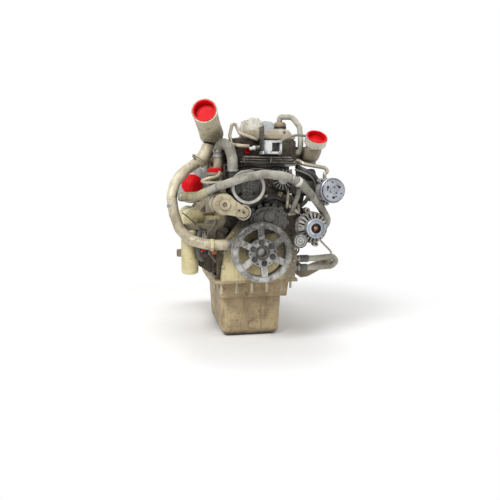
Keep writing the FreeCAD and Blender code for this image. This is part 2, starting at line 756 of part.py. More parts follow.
def rocker_cover():
    """A flanged lid, low on the left, with a dome and a smaller step at its front."""
    low, high = block_front + 14, block_rear - 14
    rim = box("lid_flange", (LID_LEFT, LID_RIGHT), (low, high), (lid_z, lid_z + d.lid_rim))
    top = lid_z + d.lid_height
    outline = [
        (LID_LEFT + 12, lid_z), (LID_RIGHT - 12, lid_z), (LID_RIGHT - 12, top - 26), (LID_RIGHT - 34, top),
        (44, top), (12, top - 12), (-20, lid_z + 22), (LID_LEFT + 12, lid_z + 18),
    ]
    hollow_line = [
        (2, lid_z), (LID_RIGHT - 17, lid_z), (LID_RIGHT - 17, top - 29), (LID_RIGHT - 37, top - 5), (46,
            top - 5),
        (16, top - 16), (2, top - 20),
    ]
    dome = [(-54, lid_z), (-54, rise + 592), (-46, rise + 618), (-22, rise + 632), (20, rise + 634),
        (38, rise + 616), (42, rise + 590), (42, lid_z)]
    dome_line = [(-48, lid_z), (-48, rise + 590), (-42, rise + 613), (-20, rise + 626), (18, rise + 628),
        (32, rise + 612), (36, rise + 590), (36, lid_z)]
    step = [(40, top - 2), (98, top - 2), (98, rise + 606), (90, rise + 616), (52, rise + 620),
        (40, rise + 616)]
    parts = [
        rim, plate("lid_shell", outline, high - 8, low + 8, rounding=5),
        plate("lid_dome", dome, nose - 872, nose - 990, rounding=9), plate("lid_step", step, nose - 886,
            nose - 984, rounding=5),
    ]
    for i, y in enumerate(cylinder_y):
        parts.append(box(f"lid_rib_{i}", (48, LID_RIGHT - 40), (y - 4, y + 4), (top - 3, top + 3)))
    for i in range(3):
        parts.append(box(f"dome_rib_{i}", (-46 + 34 * i, -40 + 34 * i), (nose - 990, nose - 874),
            (rise + 600, rise + 622 + 14 * (i % 2))))
    hollow = plate("lid_hollow", hollow_line, high - 8 - d.lid_wall, low + 8 + d.lid_wall)
    under = box("lid_mouth", (LID_LEFT + 18, LID_RIGHT - 18), (low + 16, high - 16),
        (lid_z - 1, lid_z + d.lid_rim))
    inner = plate("dome_hollow", dome_line, nose - 878, nose - 982)
    holes = []
    for i, (x, y) in enumerate(lid_bolt_places):
        holes.append(rod(f"lid_hole_{i}", "z", (x, y, lid_z - 1), 4, d.lid_rim + 2))
    return cut("rocker_cover", join("lid_body", parts), [hollow, under, inner] + holes)


lid_bolt_places = [(x, block_rear - 60 - 156 * i) for x in (LID_LEFT + 5.5,
    LID_RIGHT - 5.5) for i in range(6)]


def cover_bolts():
    screws = [bolt(x, y, lid_z + d.lid_rim, 11, 4.4, (0, 0, 1)) for x, y in lid_bolt_places]
    screws += [bolt(x, cover_front, z, 0, 6.5) for x, z in cover_bolt_places]
    return screws


def oil_pan():
    """A shallow tray whose flange also closes the front cover, and the deep sump under it, face to face."""
    flange_low = rail_z - d.pan_rim
    rim = box("pan_flange", (-d.rail_half, d.rail_half), (cover_front, block_rear), (flange_low, rail_z))
    tray_z, sump_z = flange_low - d.tray_drop, flange_low - d.sump_drop + d.pan_rim
    wall = d.pan_wall
    tray_outline = [(-180, flange_low + 1), (180, flange_low + 1), (168, tray_z), (-168, tray_z)]
    sump_outline = [(-172, flange_low + 1), (164, flange_low + 1), (146, sump_z), (-152, sump_z)]
    tray = plate("pan_tray", tray_outline, block_rear - 14, block_front + 22)
    sump = plate("pan_sump", sump_outline, -450, nose - 930)
    lower = size(sump_z).value
    rounded = soften("pan_sump_round", sump, 38, lambda e: rim_edge(e, lower))
    tray_in = plate("pan_tray_inside", hollow_outline(tray_outline, wall), block_rear - 20,
        block_front + 28)
    sump_in = plate("pan_sump_inside", hollow_outline(sump_outline, wall), -456, nose - 924)
    inner = soften("pan_inside_round", sump_in, 32, lambda e: rim_edge(e, lower + wall.value))
    body = join("pan_body", [rim, tray, rounded])
    holes = []
    for i, (x, y) in enumerate(pan_bolt_places):
        holes.append(rod(f"pan_hole_{i}", "z", (x, y, flange_low - 1), 4.6, d.pan_rim + 2))
    plug = rod("drain_boss", "y", (0, nose - 936, sump_z + 60), 20, 10)
    whole = cut("pan_whole", join("pan_with_boss", [body, plug]), [tray_in, inner] + holes)
    above = box("pan_above", (-400, 400), (cover_front - 40, block_rear + 40), (tray_z, rail_z + 40))
    tray_half = doc.addObject("Part::Common", "pan_tray_half")
    tray_half.Base = whole
    tray_half.Tool = above
    return group("oil_pan", [tray_half, cut("pan_sump_half", whole, [above])])


def hollow_outline(outline, wall):
    """The inside of a four-cornered pan section that stays open at the top."""
    (left, top), (right, _), (right_low, floor), (left_low, _) = outline
    return [
        (left + wall, rail_z + 1), (right - wall, rail_z + 1), (right_low - wall, floor + wall),
        (left_low + wall, floor + wall),
    ]


def rim_edge(edge, height):
    """True for the lower edges of a sump and for the slanted edges at its four corners."""
    low = min(vertex.Z for vertex in edge.Vertexes)
    high = max(vertex.Z for vertex in edge.Vertexes)
    return low < height + 1 and (high < height + 1 or high > height + 50)


pan_bolt_places = [(x, block_front - 34) for x in pan_bolt_x]
pan_bolt_places += [(side * 196, y) for y in pan_side_y for side in (-1, 1)]


def oil_pan_bolts():
    screws = []
    for x, y in pan_bolt_places:
        tall = 52 if abs(size(y).value - size(block_front).value) < 60 else 9
        screws.append(bolt(x, y, rail_z - d.pan_rim, 24 if tall < 20 else 20, 6.5, (0, 0, -1), tall))
    return screws


def casing_bolts():
    return screw_set("casing_bolts", cover_bolts() + oil_pan_bolts() + main_cap_bolts())


def gear_case():
    tools = [rod("case_crank_hole", "y", (0, case_front - 1, 0), 60, d.case_wall + 2)]
    tools.append(rod("case_cam_hole", "y", (cam_x, case_front - 1, cam_z), 30, d.case_wall + 2))
    tools.append(rod("case_idler_hole", "y", (idler_x, case_front - 1, idler_z), 14, d.case_wall + 2))
    tools.append(rod("case_pump_hole", "y", (pump_x, case_front - 1, pump_z), 14, d.case_wall + 2))
    return cut("gear_case", plate("case_plate", case_outline, block_front, case_front), tools)


def front_cover():
    blank = plate("cover_blank", cover_outline, case_front, cover_front)
    hollow = plate("cover_hollow", inside(cover_outline, 10, cover_floor), case_front + 1,
        cover_front + d.cover_wall)
    tools = [hollow, rod("cover_crank_hole", "y", (0, cover_front - 1, 0), 56, d.cover_wall + 20)]
    boss = rod("cover_crank_boss", "y", (0, cover_front - 1, 0), 66, d.cover_wall + 3)
    post = rod("idler_post", "y", (182, belt_back + 4, 51), 12, cover_front - belt_back)
    pin = rod("idler_pin", "y", (182, belt_face + 4, 51), 8, cover_front - belt_face - 2)
    ribs = []
    ribs.append(box("cover_inlet", (-126, -74), (cover_front - 60, cover_front + 2), (0, 60)))
    for i, (x, z) in enumerate(pan_bolt_x_and_floor):
        tools.append(rod(f"floor_thread_{i}", "z", (x, block_front - 34, z), 4.6, 12))
    cover = cut("cover_shell", join("cover_solid", [blank, boss] + ribs), tools)
    return join("front_cover", [cover, post, pin])


pan_bolt_x_and_floor = [(x, rail_z - 1) for x in pan_bolt_x]


def pulley(name, x, z, radius, bore, hub, depth=None, cup=False, face=None):
    """A belt pulley with a rim, a web and a hub, bored for its shaft."""
    depth = d.belt_width if depth is None else depth
    face = belt_face if face is None else face
    back = face + depth
    radius, rim = size(radius), (14 if cup else 8)
    if cup:
        corners = [
            (bore, back - 12), (radius - rim - 10, back - 12), (radius - rim, back - 22), (radius - rim,
                face + 2),
            (radius - rim + 2, face), (radius - 1, face), (radius, face + 1), (radius, back), (bore, back),
        ]
    else:
        corners = [
            (bore, face + 3), (hub, face + 3), (hub, face + 8), (radius - rim, face + 8), (radius - rim,
                face),
            (radius, face), (radius, back), (radius - rim, back), (radius - rim, back - 8), (hub, back - 8),
            (hub, back - 3), (bore, back - 3),
        ]
    return turned(name, corners, x, 0, z)


def water_pump():
    """Pump body on the gear case: volute, neck, inlet stub and bearing snout."""
    x, z = PUMP_PLACE
    parts = [
        rod("pump_volute", "y", (x, nose - 1098, z), 62, case_front - nose + 1098),
        cone("pump_neck", "y", (x, nose - 1128, z), 26, 50, 30),
        rod("pump_snout", "y", (x, nose - 1146, z), 22, 20),
        rod("pump_inlet", "z", (x - 53, nose - 1062, z), 23, 69),
        box("pump_outlet", (x + 20, x + 62), (nose - 1086, case_front), (z - 52, z - 14)),
    ]
    for i in range(5):
        side, up = at_angle(62, 56 + 72 * i)
        parts.append(rod(f"pump_ear_{i}", "y", (x + side, nose - 1040, z + up), 10,
            case_front - nose + 1040))
    body = join("pump_casting", parts)
    return cut("water_pump", body, [rod("pump_bearing", "y", (x, nose - 1150, z), 12 + d.run_gap, 60)])


PUMP_PLACE = (-66, 303)
FAN_PLACE = (108, 337)
TENSIONER_PLACE = (-178, 225)
ROLLER_PLACE = (-90, 188)
IDLER_PLACE = (182, 51)
ALTERNATOR_PLACE = (258, 108)
COOLER_PLACE = (346, 285)
TURBO_PLACE = (-290, rise + 311)


def water_pump_pulley():
    x, z = PUMP_PLACE
    cup = pulley("pump_cup", x, z, 78, 12, 20, depth=40, cup=True)
    shaft = rod("pump_shaft", "y", (x, belt_face + 14, z), 12, 84)
    flange = rod("pump_flange", "y", (x, belt_face + 22, z), 30, 8)
    tools = []
    for i in range(4):
        side, up = at_angle(46, 45 + 90 * i)
        tools.append(rod(f"pulley_window_{i}", "y", (x + side, belt_face + 20, z + up), 9, 30))
    return cut("water_pump_pulley", join("pump_turning", [cup, shaft, flange]), tools)


def fan_drive_housing():
    x, z = FAN_PLACE
    parts = [
        rod("fan_body", "y", (x, nose - 1098, z), 44, case_front - nose + 1098),
        cone("fan_neck", "y", (x, nose - 1112, z), 30, 42, 14),
    ]
    for i in range(4):
        side, up = at_angle(46, 35 + 90 * i)
        parts.append(rod(f"fan_ear_{i}", "y", (x + side, nose - 1036, z + up), 10,
            case_front - nose + 1036))
    body = join("fan_casting", parts)
    return cut("fan_drive_housing", body,
        [rod("fan_bearing", "y", (x, nose - 1120, z), 14 + d.run_gap, 70)])


def fan_hub():
    """Finned disc on the fan drive shaft."""
    x, z = FAN_PLACE
    parts = [
        rod("fan_disc", "y", (x, nose - 1130, z), 50, 14), rod("fan_shaft", "y", (x, nose - 1118, z), 14,
            66),
        rod("fan_cap", "y", (x, nose - 1142, z), 22, 14),
    ]
    for i in range(16):
        fin = box(f"fan_fin_{i}", (-1.5, 1.5), (nose - 1140, nose - 1129), (20, 48))
        side, up = at_angle(1, 90 - 22.5 * i)
        fin = turn_about_crank(fin, 22.5 * i, -1.5, nose - 1140, 20)
        fin.Placement = FreeCAD.Placement(
            point(x - 1.5 * up + 20 * side, nose - 1140,
                z + 20 * up + 1.5 * side), FreeCAD.Rotation(V(0, 1, 0), 22.5 * i)
        )
        parts.append(fin)
    return join("fan_hub", parts)


def pump_casting():
    """Scalloped casting on the front cover, above the damper and partly behind it."""
    corners = [
        (-40, 118), (-44, 150), (-34, 180), (-8, 198), (22, 208), (58, 211), (96, 204), (122, 182), (134,
            150),
        (126, 110), (96, 86), (20, 78), (-20, 92),
    ]
    blank = plate("upper_casting_blank", corners, cover_front, nose - 1122, rounding=9)
    face = plate("upper_casting_face", inside(corners, 14), nose - 1118, nose - 1130, rounding=5)
    parts = [blank, face, rod("casting_boss", "y", (46, nose - 1135, 164), 26, 12),
        rod("casting_step", "y", (84, nose - 1133, 176), 12, 10)]
    lugs = ((-46, 132), (-30, 190), (6, 206), (40, 213), (76, 212), (108, 198), (130, 168), (136, 132))
    for i, (x, z) in enumerate(lugs):
        parts.append(rod(f"casting_lug_{i}", "y", (x, nose - 1106, z), 12, cover_front - nose + 1106))
    for i in range(5):
        parts.append(box(f"casting_rib_{i}", (-22 + 30 * i, -17 + 30 * i), (nose - 1127, cover_front),
            (96, 190 + 6 * (i % 3))))
    return join("cover_casting", parts)


def tensioner_base():
    x, z = TENSIONER_PLACE
    parts = [
        cone("tensioner_cup", "y", (x, nose - 1145, z), 55, 58, 56),
        box("tensioner_foot", (x - 20, -112), (nose - 1092, case_front), (z - 30, z + 14)),
    ]
    blank = join("tensioner_casting", parts)
    return cut("tensioner_base", blank, [rod("tensioner_bore", "y", (x, nose - 1150, z), 12 + d.run_gap,
        50)])


def tensioner_arm():
    """A hub in the base and a tapering arm in front of it that carries the roller."""
    x, z = TENSIONER_PLACE
    roller_x, roller_z = ROLLER_PLACE
    reach = math.hypot(roller_x - x, roller_z - z)
    tilt = math.degrees(math.atan2(roller_z - z, roller_x - x))
    wide, narrow = 44, 23
    lean = math.degrees(math.acos((wide - narrow) / reach))
    corners = []
    for centre_x, centre_z, radius in ((x, z, wide), (roller_x, roller_z, narrow)):
        for turn in (lean, -lean):
            side, up = at_angle(radius, tilt + turn)
            corners.append((centre_x + side, centre_z + up))
    corners = [corners[0], corners[2], corners[3], corners[1]]
    parts = [
        rod("arm_hub", "y", (x, nose - 1192, z), 50, 45), cone("arm_cap", "y", (x, nose - 1203, z), wide,
            50, 11),
        rod("arm_boss", "y", (x, nose - 1212, z), 24, 12), rod("arm_shaft", "y", (x, nose - 1148, z), 12,
            44),
        plate("arm_web", corners, nose - 1191.5, nose - 1203), rod("arm_end", "y",
            (roller_x, nose - 1203, roller_z), narrow, 11.5),
        rod("roller_pin", "y", (roller_x, nose - 1203, roller_z), 8, 45),
    ]
    body = join("arm_casting", parts)
    along_x, along_z = (roller_x - x) / reach, (roller_z - z) / reach
    tools = [rod("arm_socket", "y", (x, nose - 1213, z), 11, 8)]
    for i, (back, half) in enumerate(((0, 5.5), (24, 4.5))):
        hole_x, hole_z = roller_x - along_x * back, roller_z - along_z * back
        tools.append(box(f"arm_square_{i}", (hole_x - half, hole_x + half), (nose - 1204, nose - 1197),
            (hole_z - half, hole_z + half)))
    return cut("tensioner_arm", body, tools)


def idle_pulley(name, place, radius):
    x, z = place
    return pulley(name, x, z, radius, 8 + d.run_gap, 18, depth=30)


def alternator_body():
    x, z = ALTERNATOR_PLACE
    front, back = nose - 1148, nose - 1072
    corners = [
        (8 + d.run_gap, front), (36, front), (66, front + 12), (76, front + 24), (76, front + 30), (73,
            front + 32),
        (73, back - 30), (76, back - 28), (76, back - 16), (64, back), (8 + d.run_gap, back),
    ]
    body = turned("alternator_case", corners, x, 0, z)
    tools = []
    for i in range(20):
        if i in (5, 15):
            continue
        slot = box(f"vent_{i}", (-4, 4), (front + 4, front + 22), (42, 90))
        side, up = at_angle(1, 90 - 18 * i)
        slot.Placement = FreeCAD.Placement(
            point(x - 4 * up + 42 * side, front + 4, z + 42 * up + 4 * side), FreeCAD.Rotation(V(0, 1, 0),
                18 * i)
        )
        tools.append(slot)
    vented = cut("alternator_vented", body, tools)
    ear_places = ((-22, 82), (22, -82))
    ears = [rod(f"alternator_ear_{i}", "y", (x + dx, front + 30, z + dz), 13, 40) for i,
        (dx, dz) in enumerate(ear_places)]
    eared = join("alternator_eared", [vented] + ears)
    holes = [rod(f"ear_hole_{i}", "y", (x + dx, front, z + dz), 5.2, 90) for i,
        (dx, dz) in enumerate(ear_places)]
    return cut("alternator_body", eared, holes)


def alternator_pulley():
    x, z = ALTERNATOR_PLACE
    face = belt_face
    corners = [
        (0, face + 18), (12, face + 18), (12, face + 24), (23, face + 24), (23, face + 2), (30, face), (45,
            face),
        (47, face + 2), (47, face + 34), (20, face + 34), (20, face + 38), (8, face + 38), (8,
            face + 100), (0, face + 100),
    ]
    return turned("alternator_pulley", corners, x, 0, z)


def ac_compressor():
    x, z = COOLER_PLACE
    corners = [
        (10 + d.run_gap, nose - 1136), (32, nose - 1136), (32, nose - 1128), (55, nose - 1124), (55,
            nose - 975), (44, nose - 962), (10 + d.run_gap, nose - 962),
    ]
    body = turned("compressor_case", corners, x, 0, z)
    ears = []
    for i, (dx, dz) in enumerate(((-40, 46), (-12, -62), (38, -48))):
        ears.append(rod(f"compressor_ear_{i}", "y", (x + dx, nose - 1112, z + dz), 12, 120))
    holes = []
    for i, (dx, dz) in enumerate(((-40, 46), (-12, -62), (38, -48))):
        holes.append(rod(f"compressor_hole_{i}", "y", (x + dx, nose - 1113, z + dz), 4.6, 122))
    port = box("compressor_port", (x - 24, x + 24), (nose - 1056, nose - 1010), (z + 40, z + 58))
    return cut("ac_compressor", join("compressor_eared", [body, port] + ears), holes)


def ac_pulley():
    x, z = COOLER_PLACE
    corners = [
        (32.5, nose - 1166), (56, nose - 1166), (60, nose - 1163), (60, nose - 1140), (56,
            nose - 1137.5), (32.5, nose - 1137.5),
    ]
    return turned("ac_pulley", corners, x, 0, z)


def ac_clutch():
    x, z = COOLER_PLACE
    plate_front, plate_back = nose - 1174, nose - 1166.6
    corners = [
        (0, plate_front - 2), (14, plate_front - 2), (14, plate_front), (52, plate_front), (54,
            plate_front + 2),
        (54, plate_back), (10, plate_back), (10, nose - 1100), (0, nose - 1100),
    ]
    tools = []
    for i in range(3):
        side, up = at_angle(33, 30 + 120 * i)
        tools.append(rod(f"clutch_hole_{i}", "y", (x + side, plate_front - 1, z + up), 6, 10))
    return cut("ac_clutch", turned("clutch_plate", corners, x, 0, z), tools)


def accessory_bracket():
    """Bracket on the block's right side that carries the compressor and the alternator."""
    x, z = COOLER_PLACE
    parts = [
        box("bracket_root", (d.upper_half, 172), (nose - 1006, nose - 850), (140, 400)),
        box("bracket_arm", (164, 288), (nose - 1055, nose - 965), (268, 330)),
        box("bracket_post_foot", (190, 234), (nose - 1040, nose - 990), (320, 340)),
        rod("bracket_post", "z", (212, nose - 1016, 330), 10, 64),
        box("bracket_low_foot", (d.skirt_half, 262), (nose - 1008, nose - 960), (20, 66)),
        box("bracket_low_arm", (210, 262), (nose - 1071.5, nose - 960), (58, 134)),
    ]
    lx, lz = ALTERNATOR_PLACE
    parts.append(box("bracket_top_bar", (214, 250), (nose - 1066, nose - 990), (168, 196)))
    parts.append(box("bracket_web", (211, 232), (nose - 1006, nose - 966), (130, 272)))
    body = join("bracket_solid", parts)
    tools = [rod("bracket_bite", "y", (x, nose - 1140, z), 55.3, 200)]
    for i, (dx, dz) in enumerate(((-40, 46), (-12, -62), (38, -48))):
        tools.append(rod(f"bracket_ear_bite_{i}", "y", (x + dx, nose - 1140, z + dz), 12.3, 200))
    return cut("accessory_bracket", body, tools)


def mount_arm(name, corners, side, hole):
    """An engine mount: a plate with a pad on the block and a bored foot."""
    arm = plate(name + "_plate", corners, nose - 884, nose - 916, rounding=8)
    near = d.skirt_half if side > 0 else -d.skirt_half - 16
    far = d.skirt_half + 16 if side > 0 else -d.skirt_half
    pad = box(name + "_pad", (near, far), (nose - 960, nose - 840), (-128, -36))
    foot = rod(name + "_foot", "z", (hole[0], nose - 900, hole[1]), 26, 34)
    body = join(name + "_body", [arm, pad, foot])
    bore = rod(name + "_bore", "z", (hole[0], nose - 900, hole[1] - 20), 9, 80)
    return cut(name, body, [bore])


def mounts():
    left = [(-196, -50), (-196, -126), (-214, -132), (-322, -60), (-326, -46), (-378, -46), (-378, -12),
        (-320, -12)]
    right = [
        (196, -50), (196, -120), (262, -172), (300, -168), (374, -130), (378, -116), (432, -116), (432,
            -82),
        (380, -82), (290, -118),
    ]
    left = [(x - skirt_out, z) for x, z in left]
    right = [(x + skirt_out, z) for x, z in right]
    arms = [mount_arm("mount_left", left, -1, (-skirt_out - 352, -46)),
        mount_arm("mount_right", right, 1, (skirt_out + 404, -116))]
    return group("engine_mounts", arms)


def exhaust_manifold():
    log_x, log_z = -d.head_left - 34, head_z + 30
    parts = [rod("manifold_log", "y", (log_x, nose - 960, log_z), 26, 800 - nose)]
    for i, y in enumerate(cylinder_y):
        parts.append(rod(f"runner_{i}", "x", (log_x, y, log_z), 24, 34))
        parts.append(box(f"runner_flange_{i}", (-d.head_left - 10, -d.head_left), (y - 28, y + 28),
            (log_z - 28, log_z + 28)))
    parts.append(box("turbine_flange", (log_x - 42, log_x), (-660, -580), (log_z - 38, log_z + 22)))
    tools = [rod("manifold_bore", "y", (log_x, nose - 950, log_z), 20, 780 - nose)]
    for i, y in enumerate(cylinder_y):
        tools.append(rod(f"runner_bore_{i}", "x", (log_x, y, log_z), 18, 36))
    return cut("exhaust_manifold", join("manifold_solid", parts), tools)


def turbo_compressor_housing():
    x, z = TURBO_PLACE
    corners = [
        (44, -822), (50.5, -822), (50.5, -796), (60, -782), (92, -778), (98, -764), (98, -734), (90,
            -722), (40, -720),
        (8 + d.run_gap, -720), (8 + d.run_gap, -730), (44, -742), (44, -775),
    ]
    body = turned("volute_body", corners, x, 0, z)
    outlet = rod("volute_outlet", "z", (x + 70, -752, z + 20), 26, 106)
    mouth = rod("volute_mouth", "z", (x + 70, -752, z + 50), 20, 80)
    return cut("turbo_compressor_housing", join("volute_solid", [body, outlet]), [mouth])


def turbo_turbine_housing():
    x, z = TURBO_PLACE
    log_x, log_z = -d.head_left - 34, head_z + 30
    corners = [
        (8 + d.run_gap, -719.5), (58, -719.5), (58, -708), (44, -702), (44, -672), (60, -664), (86,
            -656), (92, -640), (92, -606),
        (84, -590), (60, -582), (58, -540), (66, -540), (66, -528), (48, -528), (48, -590), (52,
            -640), (8 + d.run_gap, -652),
    ]
    body = turned("turbine_body", corners, x, 0, z)
    far = size(log_x).value - 42
    neck = pipe("turbine_neck", [(far, -620, size(log_z).value - 8), (-232, -620, 436), (-262, -620, 372)],
        27, 40)
    return join("turbo_turbine_housing", [body, neck])


def turbo_rotor():
    x, z = TURBO_PLACE
    corners = [
        (0, -800), (7, -800), (10, -780), (18, -760), (38, -750), (38, -745), (8, -743), (8, -648), (40,
            -640),
        (40, -628), (22, -612), (12, -596), (0, -592),
    ]
    return turned("turbo_rotor", corners, x, 0, z)


def inlet_cap():
    """Shallow cone that closes the compressor inlet for shipping."""
    x, z = TURBO_PLACE
    corners = [(0, -843), (12, -842), (46, -828), (53, -824), (53, -800), (51.4, -800), (51.4, -822.3),
        (0, -822.3)]
    return turned("inlet_cap", corners, x, 0, z)


def egr_cooler():
    corners = [
        (0, nose - 900), (16, nose - 898), (24, nose - 885), (52, nose - 858), (54, nose - 852), (54,
            -470), (46, -452), (0, -452),
    ]
    body = turned("cooler_shell", corners, -wall_out - 285, 0, 135)
    feet = [box(f"cooler_foot_{i}", (-wall_out - 250, -d.upper_half), (y - 14, y + 14), (131, 150)) for i,
        y in enumerate((-820, -540))]
    return join("egr_cooler", [body] + feet)


def oil_filter():
    corners = [
        (0, -124), (24, -128), (38, -122), (42, -112), (42, 84), (38, 92.5), (0, 92.5),
    ]
    return turned("oil_filter", corners, -skirt_out - 318, nose - 962, 0, FreeCAD.Rotation(V(1, 0, 0), 90))


def oil_cooler_cover():
    parts = [
        box("cooler_plate", (-d.skirt_half - 24, -d.skirt_half), (nose - 870, -420), (-20, 60)),
        box("filter_arm", (-d.skirt_half - 24, -d.skirt_half), (nose - 998, nose - 860), (-20, 66)),
        box("filter_head", (-skirt_out - 352, -d.skirt_half - 4), (nose - 998, nose - 928), (93, 120)),
        box("filter_bridge", (-d.skirt_half - 40, -d.skirt_half - 4), (nose - 998, nose - 928), (40, 100)),
    ]
    for i in range(5):
        for j, z in enumerate((-10, 50)):
            parts.append(rod(f"cooler_lug_{i}_{j}", "x", (-d.skirt_half - 29, nose - 860 + 105 * i, z), 9,
                20))
    return join("oil_cooler_cover", parts)


def thermostat_housing():
    corners = [(0, 300), (37, 300), (37, 358), (41, 358), (41, 370), (0, 370)]
    parts = [
        turned("thermostat_body", corners, -wall_out - 200, nose - 1048, 0,
            FreeCAD.Rotation(V(1, 0, 0), 90)),
        box("thermostat_foot", (-wall_out - 188, -wall_out - 131), (nose - 1038, case_front), (300, 350)),
        rod("thermostat_neck", "z", (-wall_out - 177, nose - 996, 338), 24, 104 + rise),
        box("thermostat_bridge", (-wall_out - 192, -wall_out - 160), (nose - 1034, nose - 990), (322, 356)),
    ]
    housing = join("thermostat_housing", parts)
    housing.Refine = False
    return housing


def intake_manifold():
    left = size(d.head_right)
    plenum = box("plenum", (left, 332), (nose - 930, -170), (rise + 412, rise + 500))
    hollow = [box("plenum_inside", (left + 6, 326), (nose - 924, -176), (rise + 418, rise + 494))]
    for i, y in enumerate(cylinder_y):
        hollow.append(rod(f"plenum_port_{i}", "x", (left - 1, y, head_z + 36), 22, 20))
    hollow.append(rod("plenum_mouth", "y", (288, nose - 931, rise + 456), 34, 20))
    return cut("intake_manifold", plenum, hollow)


ELBOW_MOUTH = point(292, nose - 1068, rise + 540)
ELBOW_CORNER = point(288, nose - 1000, rise + 456)
ELBOW_END = point(288, nose - 930.4, rise + 456)


def tube_along(start, ahead, outer, inner, near, far):
    """A ring from near to far along ahead, measured from start."""
    direction = V(ahead).normalize()
    shape = Part.makeCylinder(outer, far - near, start + direction * near, direction)
    return shape.cut(Part.makeCylinder(inner, far - near, start + direction * near, direction))


def intake_elbow():
    """Elbow on the plenum whose bell mouth looks forwards and up."""
    ahead = ELBOW_CORNER - ELBOW_MOUTH
    start = ELBOW_MOUTH + ahead * (26 / ahead.Length)
    run = swept([start, ELBOW_CORNER, ELBOW_END], 41,
        50).cut(swept([start, ELBOW_CORNER, ELBOW_END], 36, 50))
    bell = tube_along(ELBOW_MOUTH, ahead, 54, 47, 0, 28)
    step = tube_along(ELBOW_MOUTH, ahead, 54, 36, 28, 36)
    return solid("intake_elbow", run.fuse([bell, step]).removeSplitter())


def outlet_pipe():
    """Large pipe whose open mouth looks forwards and up, with a neck into the head."""
    mouth, base = point(-256, nose - 1110, rise + 649), point(-193, nose - 872, rise + 555)
    ahead = base - mouth
    shape = Part.makeCylinder(56.5, ahead.Length, mouth, ahead)
    shape = shape.fuse(Part.makeCone(56.5, 32, 44, base, ahead))
    shape = shape.fuse(Part.makeCylinder(60, 14, mouth, ahead))
    shape = shape.cut(Part.makeCylinder(50.5, ahead.Length - 6, mouth - ahead * 0.002, ahead))
    tail = base + ahead * (38 / ahead.Length)
    bend = point(-172, -780, rise + 504)
    neck = swept([tail, bend, point(-128.4, -780, rise + 504)], 28, 30)
    return solid("outlet_pipe", shape.fuse(neck).removeSplitter())


def coolant_pipe():
    """Left loop: from the underside of the outlet pipe, round and down to the front cover."""
    upper = pipe("coolant_upper", [(-214, nose - 905, rise + 500), (-222, nose - 912, rise + 474), (-246,
        nose - 908, rise + 436), (-268, nose - 905, rise + 420)], 34, 40)
    loop = [
        (-256, nose - 904, rise + 430), (-329, nose - 940, 383), (-386, nose - 975, 320), (-405,
            nose - 1000, 254), (-395, nose - 1015, 174),
        (-369, nose - 1030, 98), (-319, nose - 1056, 50), (-250, nose - 1092, 33), (-200, nose - 1097,
            30), (-126.3, nose - 1097, 30),
    ]
    lower = pipe("coolant_loop", loop, 25, 60)
    return join("coolant_pipe", [upper, lower])


def cross_hose():
    points = [
        (-370, nose - 1008, 254), (-282, nose - 1048, 257), (-220, nose - 1118, 294), (-176, nose - 1206,
            316), (-91, nose - 1218, 346),
        (-2, nose - 1225, 362), (93, nose - 1215, 355), (167, nose - 1196, 326), (237, nose - 1150,
            274), (304, nose - 1110, 204),
        (358, nose - 1064, 134), (346, nose - 1010, 92), (310, nose - 985, 92), (262.4, nose - 985, 92),
    ]
    return pipe("cross_hose", points, 19, 90)


def bypass_hose():
    points = [
        (-wall_out - 177, nose - 996, rise + 442.4), (-wall_out - 177, nose - 996, rise + 484), (-158,
            nose - 1036, rise + 514), (-130, nose - 1048, rise + 482), (-119, nose - 1062, rise + 430),
        (-119, nose - 1062, 372.4),
    ]
    return pipe("bypass_hose", points, 25, 40)


def breather_hose():
    """From the top of the separator, over and down to the side of the head."""
    top = lid_z + d.lid_height + 46.8
    points = [
        (160, nose - 850, top), (160, nose - 850, rise + 654), (218, nose - 880, rise + 652), (246,
            nose - 922, rise + 600), (242, nose - 962, rise + 530), (233, nose - 986, rise + 486),
        (225, nose - 990, rise + 468), (d.head_right + 0.4, nose - 990, rise + 468),
    ]
    return group("breather_hoses", [pipe("breather_loop", points, 14, 40)])


def oil_separator():
    base = lid_z + d.lid_height + 0.4
    corners = [(0, base), (30, base), (33, base + 6), (33, base + 36), (26, base + 46), (0, base + 46)]
    return turned("oil_separator", corners, 160, nose - 850, 0, FreeCAD.Rotation(V(1, 0, 0), 90))


def fuel_lines():
    lines = []
    for i in range(3):
        low, high = rise + 420 + 12 * i, rise + 419 + 11 * i
        front = nose - 1050 - 6 * i
        points = [(-84 + 12 * i, block_front + 4.6, low), (-84 + 12 * i, front, low),
            (196 - 14 * i, front, high),
                  (196 - 14 * i, block_front + 4.6, high)]
        lines.append(pipe(f"fuel_line_{i}", points, 4.5, 14))
    return group("fuel_lines", lines)


def vent_pipes():
    arch = [
        (-118, nose - 1005.4, rise + 508), (-118, nose - 1022, rise + 508), (-126, nose - 1022,
            rise + 545), (-109, nose - 1022, rise + 622), (-78, nose - 1022, rise + 556),
        (12, nose - 1022, rise + 526), (12, nose - 1005.4, rise + 526),
    ]
    bridge = [(-92, nose - 1005.4, rise + 494), (-92, nose - 1036, rise + 494),
        (-34, nose - 1036, rise + 498), (-34, nose - 1005.4, rise + 498)]
    return group("vent_pipes", [pipe("vent_arch", arch, 8, 12), pipe("vent_bridge", bridge, 7, 14)])


def ac_line():
    points = [
        (d.head_right + 0.4, nose - 992, rise + 430), (222, nose - 992, rise + 430), (240, nose - 1026,
            rise + 412), (350, nose - 1026, 394), (364, nose - 1031, 376),
        (346, nose - 1033, 366), (346, nose - 1033, 343.4),
    ]
    return pipe("ac_line", points, 9.5, 18)


def return_hose():
    points = [
        (d.skirt_half + 0.4, nose - 985, -62), (314, nose - 985, -62), (408, nose - 1000, -52), (424,
            nose - 1008, -78), (400, nose - 1000, -102), (331, nose - 985, -108),
        (d.skirt_half + 0.4, nose - 985, -108),
    ]
    return pipe("return_hose", points, 15, 26)


